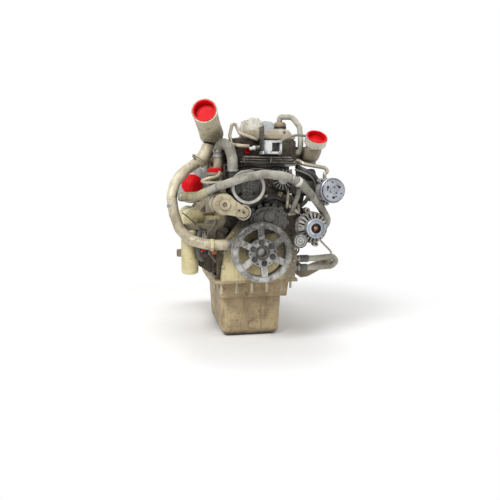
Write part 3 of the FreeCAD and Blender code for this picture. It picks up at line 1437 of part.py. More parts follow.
def branch_hose():
    points = [(178, nose - 1172, 300), (182, nose - 1130, 256), (166, nose - 1104, 196),
        (160, nose - 1088, 176), (160, nose - 1066.4, 176)]
    return pipe("branch_hose", points, 11, 40)


def head_bracket():
    """Light cast housing on the front of the head, with a thin upright fin."""
    front = nose - 1092
    parts = [
        box("bracket_case", (28, 114), (front, block_front + 5), (rise + 458, rise + 520)),
        box("bracket_fin", (20, 26), (front - 8, nose - 1010), (rise + 456, rise + 586)),
        box("bracket_shelf", (20, 122), (nose - 1030, block_front + 5), (rise + 456, rise + 468)),
    ]
    tools = [box("bracket_pocket", (66, 104), (front - 1, front + 30), (rise + 468, rise + 510))]
    return cut("head_bracket", join("head_bracket_solid", parts), tools)


def port_plugs():
    """Cup plugs pushed into the open ports for shipping."""
    plugs = []
    for place, ahead, radius, deep in (
        (point(-256, nose - 1110, rise + 649), V(63, 238, -94), 50.2, 30), (ELBOW_MOUTH,
            ELBOW_CORNER - ELBOW_MOUTH, 46.7, 22),
    ):
        direction = ahead.normalize()
        cup = Part.makeCylinder(radius, deep, place, direction)
        cup = cup.fuse(Part.makeCylinder(radius + 4, 4, place, direction * -1))
        plugs.append(cup.cut(Part.makeCylinder(radius - 3, deep + 2, place - direction * 6, direction)))
    tall = Part.makeCylinder(32, 20, point(-200, nose - 1048, 370.3), V(0, 0, 1))
    plugs.append(tall.cut(Part.makeCylinder(27, 18, point(-200, nose - 1048, 375), V(0, 0, 1))))
    small = Part.makeCylinder(13, 14, point(-40, block_front + 4.7, rise + 474), V(0, -1, 0))
    plugs.append(small.cut(Part.makeCylinder(9, 12, point(-40, block_front - 2, rise + 474), V(0, -1, 0))))
    return group("port_plugs", [screw_set("cup_plugs", plugs), inlet_cap()])


def hose_clamps():
    """Band clamps round the hoses and pipes."""
    rings = []
    for centre, ahead, radius, length in (
        ((-wall_out - 177, nose - 996, rise + 449), (0, 0, 1), 25, 11), ((-119, nose - 1062, 380),
            (0, 0, 1), 25, 11),
        ((-356, nose - 1014.4, 254.5), (-88, 40, -3), 19, 10), ((-198, nose - 1162, 305), (44, -88, 22),
            19, 10),
        ((130, nose - 1205.5, 340.5), (74, 19, -29), 19, 9), ((230, nose - 985, -62), (1, 0, 0), 15, 10),
        ((230, nose - 985, -108), (1, 0, 0), 15, 10), ((-146, nose - 1097, 30), (1, 0, 0), 25,
            12), ((276, nose - 985, 92), (1, 0, 0), 19, 10),
    ):
        rings.append(ring_between(centre, ahead, radius + 3, radius + 0.4, length))
    return screw_set("hose_clamps", rings)


def drain_tube():
    points = [(262.4, nose - 975, 48), (290, nose - 975, 48), (338, nose - 990, 34),
        (390, nose - 1000, -20), (400, nose - 1001, -35)]
    return pipe("drain_tube", points, 5, 16)


def small_lines():
    """Fuel, vent and refrigerant pipes."""
    return group("service_lines", [fuel_lines(), vent_pipes(), ac_line()])


def water_hoses():
    return group("water_hoses", [cross_hose(), branch_hose(), bypass_hose()])


def return_hoses():
    return group("return_hoses", [return_hose(), drain_tube()])


def build():
    pieces = [
        cylinder_block(), main_bearing_caps(), crankshaft(), camshaft(), *timing_gears(), *pistons(),
        flywheel_housing(), flywheel(), damper(), crank_hub(), crank_bolts(), crank_seal(), cylinder_head(),
        head_gasket(), rocker_cover(), oil_pan(), casing_bolts(), gear_case(), front_cover(), pump_casting(),
        water_pump(), water_pump_pulley(), fan_drive_housing(), fan_hub(), tensioner_base(), tensioner_arm(),
        idle_pulley("tensioner_roller", ROLLER_PLACE, 36), idle_pulley("idler_roller", IDLER_PLACE, 34),
        alternator_body(), alternator_pulley(), ac_compressor(), ac_pulley(), ac_clutch(), accessory_bracket(),
        mounts(), exhaust_manifold(), turbo_compressor_housing(), turbo_turbine_housing(), turbo_rotor(),
        egr_cooler(), oil_filter(), oil_cooler_cover(), thermostat_housing(), intake_manifold(), intake_elbow(),
        outlet_pipe(), coolant_pipe(), water_hoses(), breather_hose(), oil_separator(), small_lines(),
        return_hoses(), head_bracket(), port_plugs(), hose_clamps(),
    ]
    doc.recompute()
    faults = [thing.Name for thing in doc.Objects if "Invalid" in thing.State or "Error" in thing.State]
    faults += [piece.Name for piece in pieces if piece.Shape.isNull() or not piece.Shape.isValid()]
    if faults:
        raise ValueError("not sound: " + ", ".join(faults))
    os.makedirs("parts", exist_ok=True)
    for piece in pieces:
        piece.Shape.exportStep(f"parts/{piece.Label}.step")


build()
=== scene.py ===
import bpy
import math
import numpy as np
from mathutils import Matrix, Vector


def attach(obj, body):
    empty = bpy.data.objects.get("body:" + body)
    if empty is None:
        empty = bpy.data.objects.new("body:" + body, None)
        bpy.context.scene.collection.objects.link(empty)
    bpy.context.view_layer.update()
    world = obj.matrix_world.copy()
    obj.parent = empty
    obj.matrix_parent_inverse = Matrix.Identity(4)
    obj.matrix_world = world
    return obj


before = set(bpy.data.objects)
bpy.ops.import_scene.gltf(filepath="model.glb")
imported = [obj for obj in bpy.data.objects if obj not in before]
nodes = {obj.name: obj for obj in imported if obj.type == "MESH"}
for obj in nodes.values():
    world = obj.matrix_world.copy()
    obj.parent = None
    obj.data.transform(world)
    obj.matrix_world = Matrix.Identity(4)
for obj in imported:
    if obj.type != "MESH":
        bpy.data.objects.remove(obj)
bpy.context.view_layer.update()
print("frame loaded:", len(nodes), "solids")


# camera: just above crank height, to the left of the engine, looking a little down and to the right
cameraSetup = {
    "place": (-0.5514, -3.7696, 0.3459),
    "tiltDegrees": 82.8,
    "turnDegrees": -10.8,
    "lensMm": 41.26,
    "sensorMm": 36.0,
}

cameraData = bpy.data.cameras.new("camera")
cameraData.lens = cameraSetup["lensMm"]
cameraData.sensor_width = cameraSetup["sensorMm"]
cameraObject = bpy.data.objects.new("camera", cameraData)
cameraObject.location = cameraSetup["place"]
cameraObject.rotation_euler = (
    math.radians(cameraSetup["tiltDegrees"]), 0, math.radians(cameraSetup["turnDegrees"]))
bpy.context.collection.objects.link(cameraObject)
bpy.context.scene.camera = cameraObject
bpy.context.scene.view_settings.view_transform = "Standard"


# materials: small helpers that each add a few nodes and give back a socket

def newMaterial(name):
    material = bpy.data.materials.new(name)
    material.use_nodes = True
    tree = material.node_tree
    tree.nodes.clear()
    output = tree.nodes.new("ShaderNodeOutputMaterial")
    shader = tree.nodes.new("ShaderNodeBsdfPrincipled")
    tree.links.new(shader.outputs["BSDF"], output.inputs["Surface"])
    return material, tree, shader


def noiseOf(tree, coords, scale, detail, roughness, stretch=None):
    source = coords
    if stretch is not None:
        mapping = tree.nodes.new("ShaderNodeMapping")
        mapping.inputs["Scale"].default_value = stretch
        tree.links.new(coords, mapping.inputs["Vector"])
        source = mapping.outputs["Vector"]
    noise = tree.nodes.new("ShaderNodeTexNoise")
    noise.inputs["Scale"].default_value = scale
    noise.inputs["Detail"].default_value = detail
    noise.inputs["Roughness"].default_value = roughness
    tree.links.new(source, noise.inputs["Vector"])
    return noise.outputs["Fac"]


def stepOf(tree, value, low, high, bottom=0.0, top=1.0):
    # smooth step: bottom at low, top at high
    ramp = tree.nodes.new("ShaderNodeMapRange")
    ramp.interpolation_type = "SMOOTHSTEP"
    ends = (("From Min", low), ("From Max", high), ("To Min", bottom), ("To Max", top))
    for socket, number in ends:
        ramp.inputs[socket].default_value = number
    tree.links.new(value, ramp.inputs["Value"])
    return ramp.outputs["Result"]


def mixOf(tree, factor, first, second):
    # on a colour mix node input 0 is the factor, 6 and 7 are the colours and output 2 is the result
    mix = tree.nodes.new("ShaderNodeMix")
    mix.data_type = "RGBA"
    tree.links.new(factor, mix.inputs[0])
    for socket, colour in ((6, first), (7, second)):
        if isinstance(colour, tuple):
            mix.inputs[socket].default_value = (*colour, 1.0)
        else:
            tree.links.new(colour, mix.inputs[socket])
    return mix.outputs[2]


def mathOf(tree, first, second, operation="MULTIPLY", clamp=True):
    node = tree.nodes.new("ShaderNodeMath")
    node.operation = operation
    node.use_clamp = clamp
    for index, value in enumerate((first, second)):
        if isinstance(value, (int, float)):
            node.inputs[index].default_value = value
        else:
            tree.links.new(value, node.inputs[index])
    return node.outputs[0]


def radiusFrom(tree, coords, centre):
    # distance in metres from a line along the engine through centre (x, z)
    mapping = tree.nodes.new("ShaderNodeMapping")
    mapping.inputs["Location"].default_value = (-centre[0], 0, -centre[1])
    tree.links.new(coords, mapping.inputs["Vector"])
    flat = tree.nodes.new("ShaderNodeVectorMath")
    flat.operation = "MULTIPLY"
    flat.inputs[1].default_value = (1, 0, 1)
    tree.links.new(mapping.outputs["Vector"], flat.inputs[0])
    length = tree.nodes.new("ShaderNodeVectorMath")
    length.operation = "LENGTH"
    tree.links.new(flat.outputs["Vector"], length.inputs[0])
    return length.outputs["Value"]


def axisOf(tree, coords, axis):
    split = tree.nodes.new("ShaderNodeSeparateXYZ")
    tree.links.new(coords, split.inputs[0])
    return split.outputs[axis]


def betweenOf(tree, value, low, high, soft):
    # 1 between low and high, with soft edges
    inner = stepOf(tree, value, low - soft, low + soft)
    return mathOf(tree, inner, stepOf(tree, value, high - soft, high + soft, 1.0, 0.0))


# what a finish takes when its own dictionary doesn't say: scales per metre, lengths in metres
lookDefaults = {"patchScale": 9.0, "spotScale": 46.0, "speckScale": 260.0, "speck": 0.4,
                "grimeAndShade": 0.5, "cornerReach": 0.05, "metal": 0.0, "specular": 0.4, "bump": 0.2,
                "bumpDepth": 0.0015}

# values shared by every finish: noises are (detail, roughness), with a scale before them and a
# stretch after them where they say one; ranges are where a smooth step starts and ends
weatherAndShade = {
    "patchNoise": (5.0, 0.6), "patchRange": (0.38, 0.62), "spotNoise": (8.0, 0.7),
    "speckNoise": (3.0, 0.6), "speckRange": (0.45, 0.72),
    "streakNoise": (30.0, 6.0, 0.6, (1.0, 1.0, 0.16)), "streakRange": (0.52, 0.74),
    "streakTop": 0.75, "chipNoise": (75.0, 6.0, 0.65), "chipRange": (0.60, 0.64),
    "bandEdge": 0.0012, "bandAmount": 0.95, "behindEdge": 0.001,
    "zoneEdge": 0.002, "zoneFloor": 0.7, "zoneRange": (0.30, 0.55),
    "cornerRange": (0.15, 0.92), "cornerSamples": 6, "cornerFloor": 0.35,
    "cornerWobbleRange": (0.25, 0.60), "cornerWobble": (0.55, 1.15),
    "spotRange": (0.66, 0.78), "spotShift": 0.16, "spotTop": (0.35, 0.5),
    "roughRange": (0.3, 0.75), "spotHeight": 0.6, "speckHeight": 0.4,
    "ringPerMetre": 4200.0, "ringHeight": 0.12,
}


def weatheredAndShaded(name, ownLook):
    # cloudy patches, bands and zones of other colours, some of them painted shade and painted
    #     # highlights, fine specks, then grime and painted shade: painted shade heavy in the
    #     corners
    #     # that little light reaches, lighter grime in spots and in streaks that run down
    look = {**lookDefaults, **ownLook}
    w = weatherAndShade
    material, tree, shader = newMaterial(name)
    coords = tree.nodes.new("ShaderNodeTexCoord").outputs["Object"]
    light, dark, grimeAndShadeColour, speckColour = look["colours"]
    patch = noiseOf(tree, coords, look["patchScale"], *w["patchNoise"])
    spot = noiseOf(tree, coords, look["spotScale"], *w["spotNoise"])
    speck = noiseOf(tree, coords, look["speckScale"], *w["speckNoise"])
    streak = noiseOf(tree, coords, *w["streakNoise"])
    colour = mixOf(tree, stepOf(tree, patch, *w["patchRange"]), dark, light)
    for band in look.get("bands", ()):
        radius = radiusFrom(tree, coords, band["centre"])
        mask = betweenOf(tree, radius, band["from"], band["to"], w["bandEdge"])
        if "behind" in band:
            low, high = band["behind"] - w["behindEdge"], band["behind"] + w["behindEdge"]
            mask = mathOf(tree, mask, stepOf(tree, axisOf(tree, coords, 1), low, high))
        amount = mathOf(tree, mask, band.get("amount", w["bandAmount"]))
        colour = mixOf(tree, amount, colour, band["colour"])
    for zone in look.get("zones", ()):
        mask = None
        for axis, low, high in zone["limits"]:
            place = axisOf(tree, coords, axis)
            inside = betweenOf(tree, place, low, high, zone.get("edge", w["zoneEdge"]))
            mask = inside if mask is None else mathOf(tree, mask, inside)
        wobble = stepOf(tree, spot, *w["zoneRange"], zone.get("floor", w["zoneFloor"]), 1.0)
        colour = mixOf(tree, mathOf(tree, mask, wobble), colour, zone["colour"])
    specks = mathOf(tree, stepOf(tree, speck, *w["speckRange"]), look["speck"])
    colour = mixOf(tree, specks, colour, speckColour)

    grimeAndShade = look["grimeAndShade"]
    # painted shade: ambient occlusion mixes the colour towards the grime colour in corners and
    # recesses that little light reaches
    occlusion = tree.nodes.new("ShaderNodeAmbientOcclusion")
    occlusion.samples = w["cornerSamples"]
    occlusion.inputs["Distance"].default_value = look["cornerReach"]
    corner = stepOf(tree, occlusion.outputs["AO"], *w["cornerRange"], 1.0, 0.0)
    wobble = stepOf(tree, spot, *w["cornerWobbleRange"], *w["cornerWobble"])
    corner = mathOf(tree, mathOf(tree, corner, wobble), min(1.0, w["cornerFloor"] + grimeAndShade))
    low, high = (edge - w["spotShift"] * grimeAndShade for edge in w["spotRange"])
    spots = stepOf(tree, spot, low, high, 0.0, w["spotTop"][0] + w["spotTop"][1] * grimeAndShade)
    streaks = stepOf(tree, streak, *w["streakRange"], 0.0, w["streakTop"] * grimeAndShade)
    dirtAndShade = mathOf(tree, mathOf(tree, corner, spots, "MAXIMUM"), streaks, "MAXIMUM")
    colour = mixOf(tree, dirtAndShade, colour, grimeAndShadeColour)
    if "chip" in look:
        chips = noiseOf(tree, coords, *w["chipNoise"])
        bare = stepOf(tree, chips, *w["chipRange"], 0.0, look["chip"])
        colour = mixOf(tree, bare, colour, look["chipColour"])
    tree.links.new(colour, shader.inputs["Base Color"])
    roughness = stepOf(tree, spot, *w["roughRange"], *look["rough"])
    tree.links.new(roughness, shader.inputs["Roughness"])
    shader.inputs["Metallic"].default_value = look["metal"]
    shader.inputs["Specular IOR Level"].default_value = look["specular"]

    height = mathOf(tree, mathOf(tree, spot, w["spotHeight"]),
                    mathOf(tree, speck, w["speckHeight"]), "ADD")
    if "rings" in look:
        # turned faces: fine circles about the ring centre
        radius = radiusFrom(tree, coords, look["rings"])
        wave = tree.nodes.new("ShaderNodeMath")
        wave.operation = "SINE"
        phase = mathOf(tree, radius, w["ringPerMetre"], clamp=False)
        tree.links.new(phase, wave.inputs[0])
        ripple = mathOf(tree, wave.outputs[0], w["ringHeight"], clamp=False)
        height = mathOf(tree, height, ripple, "ADD")
    bump = tree.nodes.new("ShaderNodeBump")
    bump.inputs["Strength"].default_value = look["bump"]
    bump.inputs["Distance"].default_value = look["bumpDepth"]
    tree.links.new(height, bump.inputs["Height"])
    tree.links.new(bump.outputs["Normal"], shader.inputs["Normal"])
    return material


# nodes are the solids that take the finish; colours are linear, in the order light, dark,
# # grime and painted shade, speck; limits are (axis, low, high) and centres (x, z), in metres
finishes = {
    "creamPaint": {
        "nodes": ["front_cover"],
        "colours": ((0.62, 0.53, 0.3), (0.44, 0.36, 0.19), (0.06, 0.045, 0.03), (0.76, 0.69, 0.5)),
        "rough": (0.4, 0.75), "speck": 0.35, "bump": 0.25, "chip": 0.35,
        "chipColour": (0.16, 0.12, 0.08),
        # painted shade: near-black on the top of the cover and dark on its right above the crank,
        # where the parts in front shade it; then a mid-brown, darker towards the lower right
        "zones": [{"limits": ((2, 0.095, 1.0),), "colour": (0.035, 0.031, 0.027), "floor": 0.86,
                   "edge": 0.03},
                  {"limits": ((0, 0.1, 1.0), (2, -0.06, 1.0)), "colour": (0.07, 0.058, 0.045),
                   "floor": 0.75, "edge": 0.03},
                  {"limits": ((0, 0.135, 1.0), (2, -1.0, -0.03)), "colour": (0.2, 0.165, 0.12),
                   "floor": 0.5, "edge": 0.02}]},
    "lidPaint": {
        "nodes": ["rocker_cover"],
        "colours": ((0.68, 0.66, 0.58), (0.4, 0.36, 0.28), (0.07, 0.055, 0.04), (0.8, 0.78, 0.7)),
        "rough": (0.36, 0.7), "grimeAndShade": 0.6, "bump": 0.35, "chip": 0.4,
        "chipColour": (0.2, 0.15, 0.1),
        # painted highlight: the blue-grey zone is a sheen on the front of the lid's top; the brown
        # zone makes the lid's front edge darker
        "zones": [{"limits": ((0, 0.044, 0.12), (1, -1.0, -0.87), (2, 0.574, 0.7)),
                   "colour": (0.42, 0.45, 0.48), "floor": 0.5},
                  {"limits": ((1, -1.1, -0.98), (2, 0.5, 0.575)), "colour": (0.42, 0.34, 0.23),
                   "floor": 0.4}]},
    "panPaint": {
        "nodes": ["oil_pan"],
        "colours": ((0.46, 0.35, 0.2), (0.29, 0.215, 0.12), (0.05, 0.036, 0.022),
                    (0.68, 0.57, 0.38)), "rough": (0.45, 0.82), "grimeAndShade": 0.65, "speck": 0.35,
        "bump": 0.25, "chip": 0.3, "chipColour": (0.16, 0.11, 0.07)},
    "filterPaint": {
        "nodes": ["oil_filter", "egr_cooler"],
        "colours": ((0.7, 0.63, 0.36), (0.52, 0.45, 0.23), (0.06, 0.05, 0.03), (0.8, 0.76, 0.56)),
        "rough": (0.34, 0.65), "speck": 0.3, "bump": 0.15},
    "blockPaint": {
        "nodes": ["cylinder_block", "flywheel_housing", "engine_mounts", "oil_cooler_cover"],
        "colours": ((0.25, 0.205, 0.135), (0.12, 0.098, 0.065), (0.014, 0.012, 0.009),
                    (0.5, 0.43, 0.3)), "rough": (0.42, 0.85), "grimeAndShade": 0.6, "bump": 0.5,
        "bumpDepth": 0.003, "cornerReach": 0.1},
    # near-black head and gear case: partly their oily grime, partly painted shade of the deep
    # recess behind the pulleys
    "headCasting": {
        "nodes": ["cylinder_head", "gear_case"],
        "colours": ((0.11, 0.082, 0.058), (0.03, 0.024, 0.018), (0.008, 0.007, 0.006),
                    (0.42, 0.35, 0.25)), "rough": (0.3, 0.75), "grimeAndShade": 0.9, "specular": 0.25,
        "bump": 0.7, "bumpDepth": 0.003, "cornerReach": 0.09},
    # near-black pump, fan drive and bracket: partly oily grime, partly painted shade of the deep
    # recess behind the pulleys
    "darkCasting": {
        "nodes": ["fan_drive_housing", "water_pump", "accessory_bracket"],
        "colours": ((0.085, 0.077, 0.066), (0.024, 0.022, 0.019), (0.009, 0.008, 0.007),
                    (0.36, 0.33, 0.28)), "rough": (0.3, 0.72), "grimeAndShade": 0.8, "specular": 0.25,
        "bump": 0.7, "bumpDepth": 0.003},
    "greyCasting": {
        "nodes": ["cover_casting"],
        "colours": ((0.1, 0.098, 0.09), (0.035, 0.034, 0.031), (0.01, 0.009, 0.008),
                    (0.36, 0.355, 0.33)), "rough": (0.3, 0.62), "grimeAndShade": 0.8, "speck": 0.5,
        "metal": 0.25, "bump": 0.6, "bumpDepth": 0.003},
    "castAluminium": {
        "nodes": ["ac_compressor", "turbo_compressor_housing"],
        "colours": ((0.6, 0.6, 0.59), (0.36, 0.35, 0.33), (0.04, 0.037, 0.032), (0.8, 0.8, 0.79)),
        "rough": (0.35, 0.62), "grimeAndShade": 0.65, "metal": 0.45, "bump": 0.4, "cornerReach": 0.03},
    "alternatorCasting": {
        "nodes": ["alternator_body"],
        "colours": ((0.46, 0.44, 0.39), (0.17, 0.155, 0.13), (0.012, 0.011, 0.01),
                    (0.72, 0.71, 0.68)), "rough": (0.35, 0.62), "grimeAndShade": 0.9, "metal": 0.25,
        "specular": 0.3, "bump": 0.4, "patchScale": 16.0, "cornerReach": 0.035},
    "dirtyAluminium": {
        "nodes": ["thermostat_housing", "intake_manifold"],
        "colours": ((0.42, 0.36, 0.26), (0.2, 0.165, 0.115), (0.03, 0.025, 0.018),
                    (0.64, 0.59, 0.47)), "rough": (0.4, 0.75), "grimeAndShade": 0.75, "metal": 0.2,
        "bump": 0.5},
    "damperSteel": {
        "nodes": ["crank_damper"],
        "colours": ((0.46, 0.45, 0.42), (0.15, 0.145, 0.13), (0.035, 0.03, 0.024),
                    (0.72, 0.72, 0.68)), "rough": (0.3, 0.58), "grimeAndShade": 0.75, "speck": 0.5,
        "metal": 0.4, "bump": 0.25, "patchScale": 16.0, "rings": (0.0, 0.0),
        "bands": [{"centre": (0.0, 0.0), "from": 0.0, "to": 0.034, "colour": (0.03, 0.028, 0.026)},
                  {"centre": (0.0, 0.0), "from": 0.052, "to": 0.068, "colour": (0.2, 0.19, 0.18),
                   "amount": 0.5},
                  {"centre": (0.0, 0.0), "from": 0.1125, "to": 0.1165,
                   "colour": (0.06, 0.055, 0.05), "amount": 0.8}],
        "zones": [{"limits": ((2, 0.045, 0.3),), "colour": (0.035, 0.031, 0.027), "floor": 0.15,
                   "edge": 0.045},
                  {"limits": ((0, 0.02, 0.3), (2, -0.02, 0.3)), "colour": (0.06, 0.053, 0.045),
                   "floor": 0.1, "edge": 0.05}]},
    "pulleySteel": {
        "nodes": ["alternator_pulley"],
        "colours": ((0.42, 0.45, 0.5), (0.28, 0.3, 0.335), (0.05, 0.047, 0.045),
                    (0.72, 0.75, 0.79)), "rough": (0.26, 0.5), "metal": 0.6, "bump": 0.12,
        "rings": (0.258, 0.108),
        "bands": [{"centre": (0.258, 0.108), "from": 0.012, "to": 0.0245,
                   "colour": (0.018, 0.017, 0.016)},
                  {"centre": (0.258, 0.108), "from": 0.0, "to": 0.0115,
                   "colour": (0.42, 0.17, 0.07), "amount": 0.85},
                  {"centre": (0.258, 0.108), "from": 0.036, "to": 0.0385,
                   "colour": (0.05, 0.05, 0.05), "amount": 0.8}]},
    "pumpPulley": {
        "nodes": ["water_pump_pulley"],
        "colours": ((0.5, 0.49, 0.45), (0.34, 0.33, 0.29), (0.05, 0.045, 0.035),
                    (0.72, 0.71, 0.67)), "rough": (0.34, 0.62), "grimeAndShade": 0.6, "metal": 0.3,
        # painted shade: near-black inside the pulley's cup, behind its front face
        "bands": [{"centre": (-0.066, 0.303), "from": -1.0, "to": 0.0645,
                   "colour": (0.022, 0.02, 0.018), "amount": 0.97, "behind": -1.1885}]},
    "idlerSteel": {
        "nodes": ["idler_roller"],
        "colours": ((0.72, 0.72, 0.7), (0.58, 0.58, 0.56), (0.1, 0.09, 0.08), (0.85, 0.85, 0.84)),
        "rough": (0.28, 0.5), "grimeAndShade": 0.35, "speck": 0.3, "metal": 0.4, "bump": 0.1,
        "bands": [{"centre": (0.182, 0.051), "from": 0.0, "to": 0.0205,
                   "colour": (0.44, 0.44, 0.42), "amount": 0.9},
                  {"centre": (0.182, 0.051), "from": 0.0185, "to": 0.0205,
                   "colour": (0.03, 0.03, 0.03), "amount": 0.9},
                  {"centre": (0.182, 0.051), "from": 0.0275, "to": 0.06,
                   "colour": (0.012, 0.012, 0.012)}]},
    "wornSteel": {
        "nodes": ["crank_gear", "cam_gear", "idler_gear", "oil_pump_gear", "turbo_rotor",
                  "hose_clamps", "head_gasket"],
        "colours": ((0.4, 0.4, 0.39), (0.22, 0.22, 0.21), (0.04, 0.036, 0.032), (0.66, 0.66, 0.65)),
        "rough": (0.3, 0.55), "grimeAndShade": 0.55, "speck": 0.3, "metal": 0.6, "bump": 0.15},
    "boltPaint": {
        "nodes": ["casing_bolts"],
        "colours": ((0.56, 0.5, 0.36), (0.32, 0.28, 0.19), (0.05, 0.04, 0.03), (0.74, 0.7, 0.58)),
        "rough": (0.4, 0.7), "metal": 0.2, "spotScale": 90.0, "cornerReach": 0.015},
    "oilySteel": {
        "nodes": ["crank_bolts"],
        "colours": ((0.06, 0.06, 0.064), (0.018, 0.018, 0.02), (0.008, 0.008, 0.008),
                    (0.34, 0.33, 0.32)), "rough": (0.3, 0.6), "speck": 0.2, "metal": 0.25,
        "specular": 0.3, "bump": 0.3, "spotScale": 90.0},
    "hubSteel": {
        "nodes": ["crank_hub"],
        "colours": ((0.08, 0.079, 0.078), (0.03, 0.029, 0.028), (0.02, 0.018, 0.016),
                    (0.4, 0.38, 0.35)), "rough": (0.4, 0.7), "grimeAndShade": 0.6, "speck": 0.2,
        "metal": 0.2, "specular": 0.25, "bump": 0.3},
    "inletPipe": {
        "nodes": ["intake_elbow"],
        "colours": ((0.3, 0.25, 0.185), (0.13, 0.108, 0.08), (0.035, 0.028, 0.02),
                    (0.6, 0.56, 0.46)), "rough": (0.34, 0.68), "grimeAndShade": 0.6, "speck": 0.45,
        "metal": 0.1, "bump": 0.3,
        "zones": [{"limits": ((1, -1.2, -1.047), (2, 0.48, 0.7)), "colour": (0.62, 0.58, 0.48)}]},
    "bracketCasting": {
        "nodes": ["head_bracket"],
        "colours": ((0.62, 0.63, 0.63), (0.38, 0.38, 0.37), (0.05, 0.045, 0.04),
                    (0.84, 0.84, 0.84)), "rough": (0.34, 0.6), "grimeAndShade": 0.65, "metal": 0.3,
        "bump": 0.4, "cornerReach": 0.03,
        "zones": [{"limits": ((0, 0.019, 0.0268), (1, -1.2, -1.0), (2, 0.47, 0.7)),
                   "colour": (0.018, 0.017, 0.016), "floor": 0.95, "edge": 0.0004},
                  {"limits": ((0, 0.067, 0.103), (1, -1.0835, -1.0), (2, 0.471, 0.509)),
                   "colour": (0.05, 0.045, 0.04), "floor": 0.9, "edge": 0.0006}]},
    "shaftSteel": {
        "nodes": ["crankshaft", "camshaft", "flywheel", "main_bearing_caps", "pistons_outer",
                  "pistons_middle", "pistons_inner"],
        "colours": ((0.58, 0.58, 0.59), (0.46, 0.46, 0.47), (0.22, 0.2, 0.17), (0.7, 0.7, 0.7)),
        "rough": (0.22, 0.38), "grimeAndShade": 0.25, "speck": 0.2, "metal": 0.85, "bump": 0.06},
    "rustyIron": {
        "nodes": ["exhaust_manifold", "turbo_turbine_housing"],
        "colours": ((0.27, 0.16, 0.1), (0.13, 0.08, 0.055), (0.035, 0.025, 0.02),
                    (0.46, 0.27, 0.14)), "rough": (0.65, 0.95), "grimeAndShade": 0.6, "speck": 0.5,
        "bump": 0.6, "bumpDepth": 0.003},
    "palePipe": {
        "nodes": ["outlet_pipe", "coolant_pipe"],
        "colours": ((0.56, 0.5, 0.355), (0.31, 0.26, 0.165), (0.06, 0.045, 0.03),
                    (0.78, 0.76, 0.68)), "rough": (0.38, 0.7), "grimeAndShade": 0.65, "metal": 0.1,
        "bump": 0.25},
    "dustyHose": {
        "nodes": ["water_hoses"],
        "colours": ((0.36, 0.345, 0.29), (0.17, 0.16, 0.13), (0.05, 0.045, 0.036),
                    (0.6, 0.58, 0.5)), "rough": (0.55, 0.88), "grimeAndShade": 0.55, "bump": 0.3},
    "blackRubber": {
        "nodes": ["crank_seal"],
        "colours": ((0.14, 0.135, 0.12), (0.045, 0.043, 0.04), (0.2, 0.18, 0.14),
                    (0.3, 0.28, 0.24)), "rough": (0.45, 0.8), "grimeAndShade": 0.25, "speck": 0.3},
    "paleHose": {
        "nodes": ["return_hoses", "breather_hoses"],
        "colours": ((0.44, 0.42, 0.35), (0.25, 0.235, 0.19), (0.08, 0.07, 0.05), (0.62, 0.6, 0.52)),
        "rough": (0.5, 0.85), "speck": 0.35},
    "linePipe": {
        "nodes": ["service_lines"],
        "colours": ((0.52, 0.47, 0.36), (0.3, 0.26, 0.19), (0.04, 0.033, 0.025), (0.74, 0.7, 0.6)),
        "rough": (0.24, 0.5), "metal": 0.35, "bump": 0.15,
        "zones": [{"limits": ((0, -0.2, 0.2), (1, -1.08, -1.02), (2, 0.4, 0.452)),
                   "colour": (0.07, 0.06, 0.055), "floor": 0.45}]},
    "brownPlastic": {
        "nodes": ["oil_separator"],
        "colours": ((0.36, 0.27, 0.17), (0.2, 0.15, 0.09), (0.05, 0.038, 0.028), (0.52, 0.43, 0.3)),
        "rough": (0.45, 0.7), "speck": 0.3, "bump": 0.15},
    "redPlastic": {
        "nodes": ["port_plugs"],
        "colours": ((0.66, 0.006, 0.01), (0.52, 0.004, 0.007), (0.22, 0.004, 0.005),
                    (0.74, 0.04, 0.04)), "rough": (0.42, 0.6), "grimeAndShade": 0.2, "speck": 0.12,
        "specular": 0.12, "bump": 0.05, "cornerReach": 0.02},
    "clutchSteel": {
        "nodes": ["ac_pulley", "ac_clutch"],
        "colours": ((0.4, 0.41, 0.46), (0.25, 0.255, 0.29), (0.06, 0.055, 0.055),
                    (0.62, 0.63, 0.68)), "rough": (0.28, 0.52), "speck": 0.5, "metal": 0.5,
        "rings": (0.346, 0.285),
        "bands": [{"centre": (0.346, 0.285), "from": 0.0515, "to": 0.0565,
                   "colour": (0.035, 0.033, 0.035), "amount": 0.85}]},
    "tensionerCasting": {
        "nodes": ["tensioner_base", "tensioner_arm"],
        "colours": ((0.48, 0.41, 0.275), (0.3, 0.25, 0.16), (0.05, 0.04, 0.028), (0.7, 0.65, 0.51)),
        "rough": (0.38, 0.68), "grimeAndShade": 0.6, "metal": 0.15, "bump": 0.35},
    "rollerSteel": {
        "nodes": ["tensioner_roller"],
        "colours": ((0.56, 0.51, 0.4), (0.4, 0.36, 0.27), (0.07, 0.06, 0.045), (0.74, 0.71, 0.62)),
        "rough": (0.34, 0.6), "speck": 0.35, "metal": 0.25, "bump": 0.15,
        "bands": [{"centre": (-0.09, 0.188), "from": 0.0265, "to": 0.0285,
                   "colour": (0.08, 0.07, 0.06), "amount": 0.85}]},
    "whitePlastic": {
        "colours": ((0.72, 0.72, 0.69), (0.55, 0.55, 0.51), (0.16, 0.14, 0.11), (0.85, 0.85, 0.83)),
        "rough": (0.35, 0.6), "grimeAndShade": 0.35, "speck": 0.3, "bump": 0.1},
    "copperNut": {
        "colours": ((0.5, 0.22, 0.1), (0.3, 0.12, 0.055), (0.06, 0.035, 0.02), (0.66, 0.4, 0.24)),
        "rough": (0.3, 0.5), "grimeAndShade": 0.4, "speck": 0.3, "metal": 0.6, "bump": 0.15},
    "fanCasting": {
        "nodes": ["fan_hub"],
        "colours": ((0.045, 0.043, 0.04), (0.015, 0.0145, 0.013), (0.007, 0.007, 0.006),
                    (0.34, 0.33, 0.3)), "rough": (0.28, 0.6), "grimeAndShade": 0.7, "speck": 0.35,
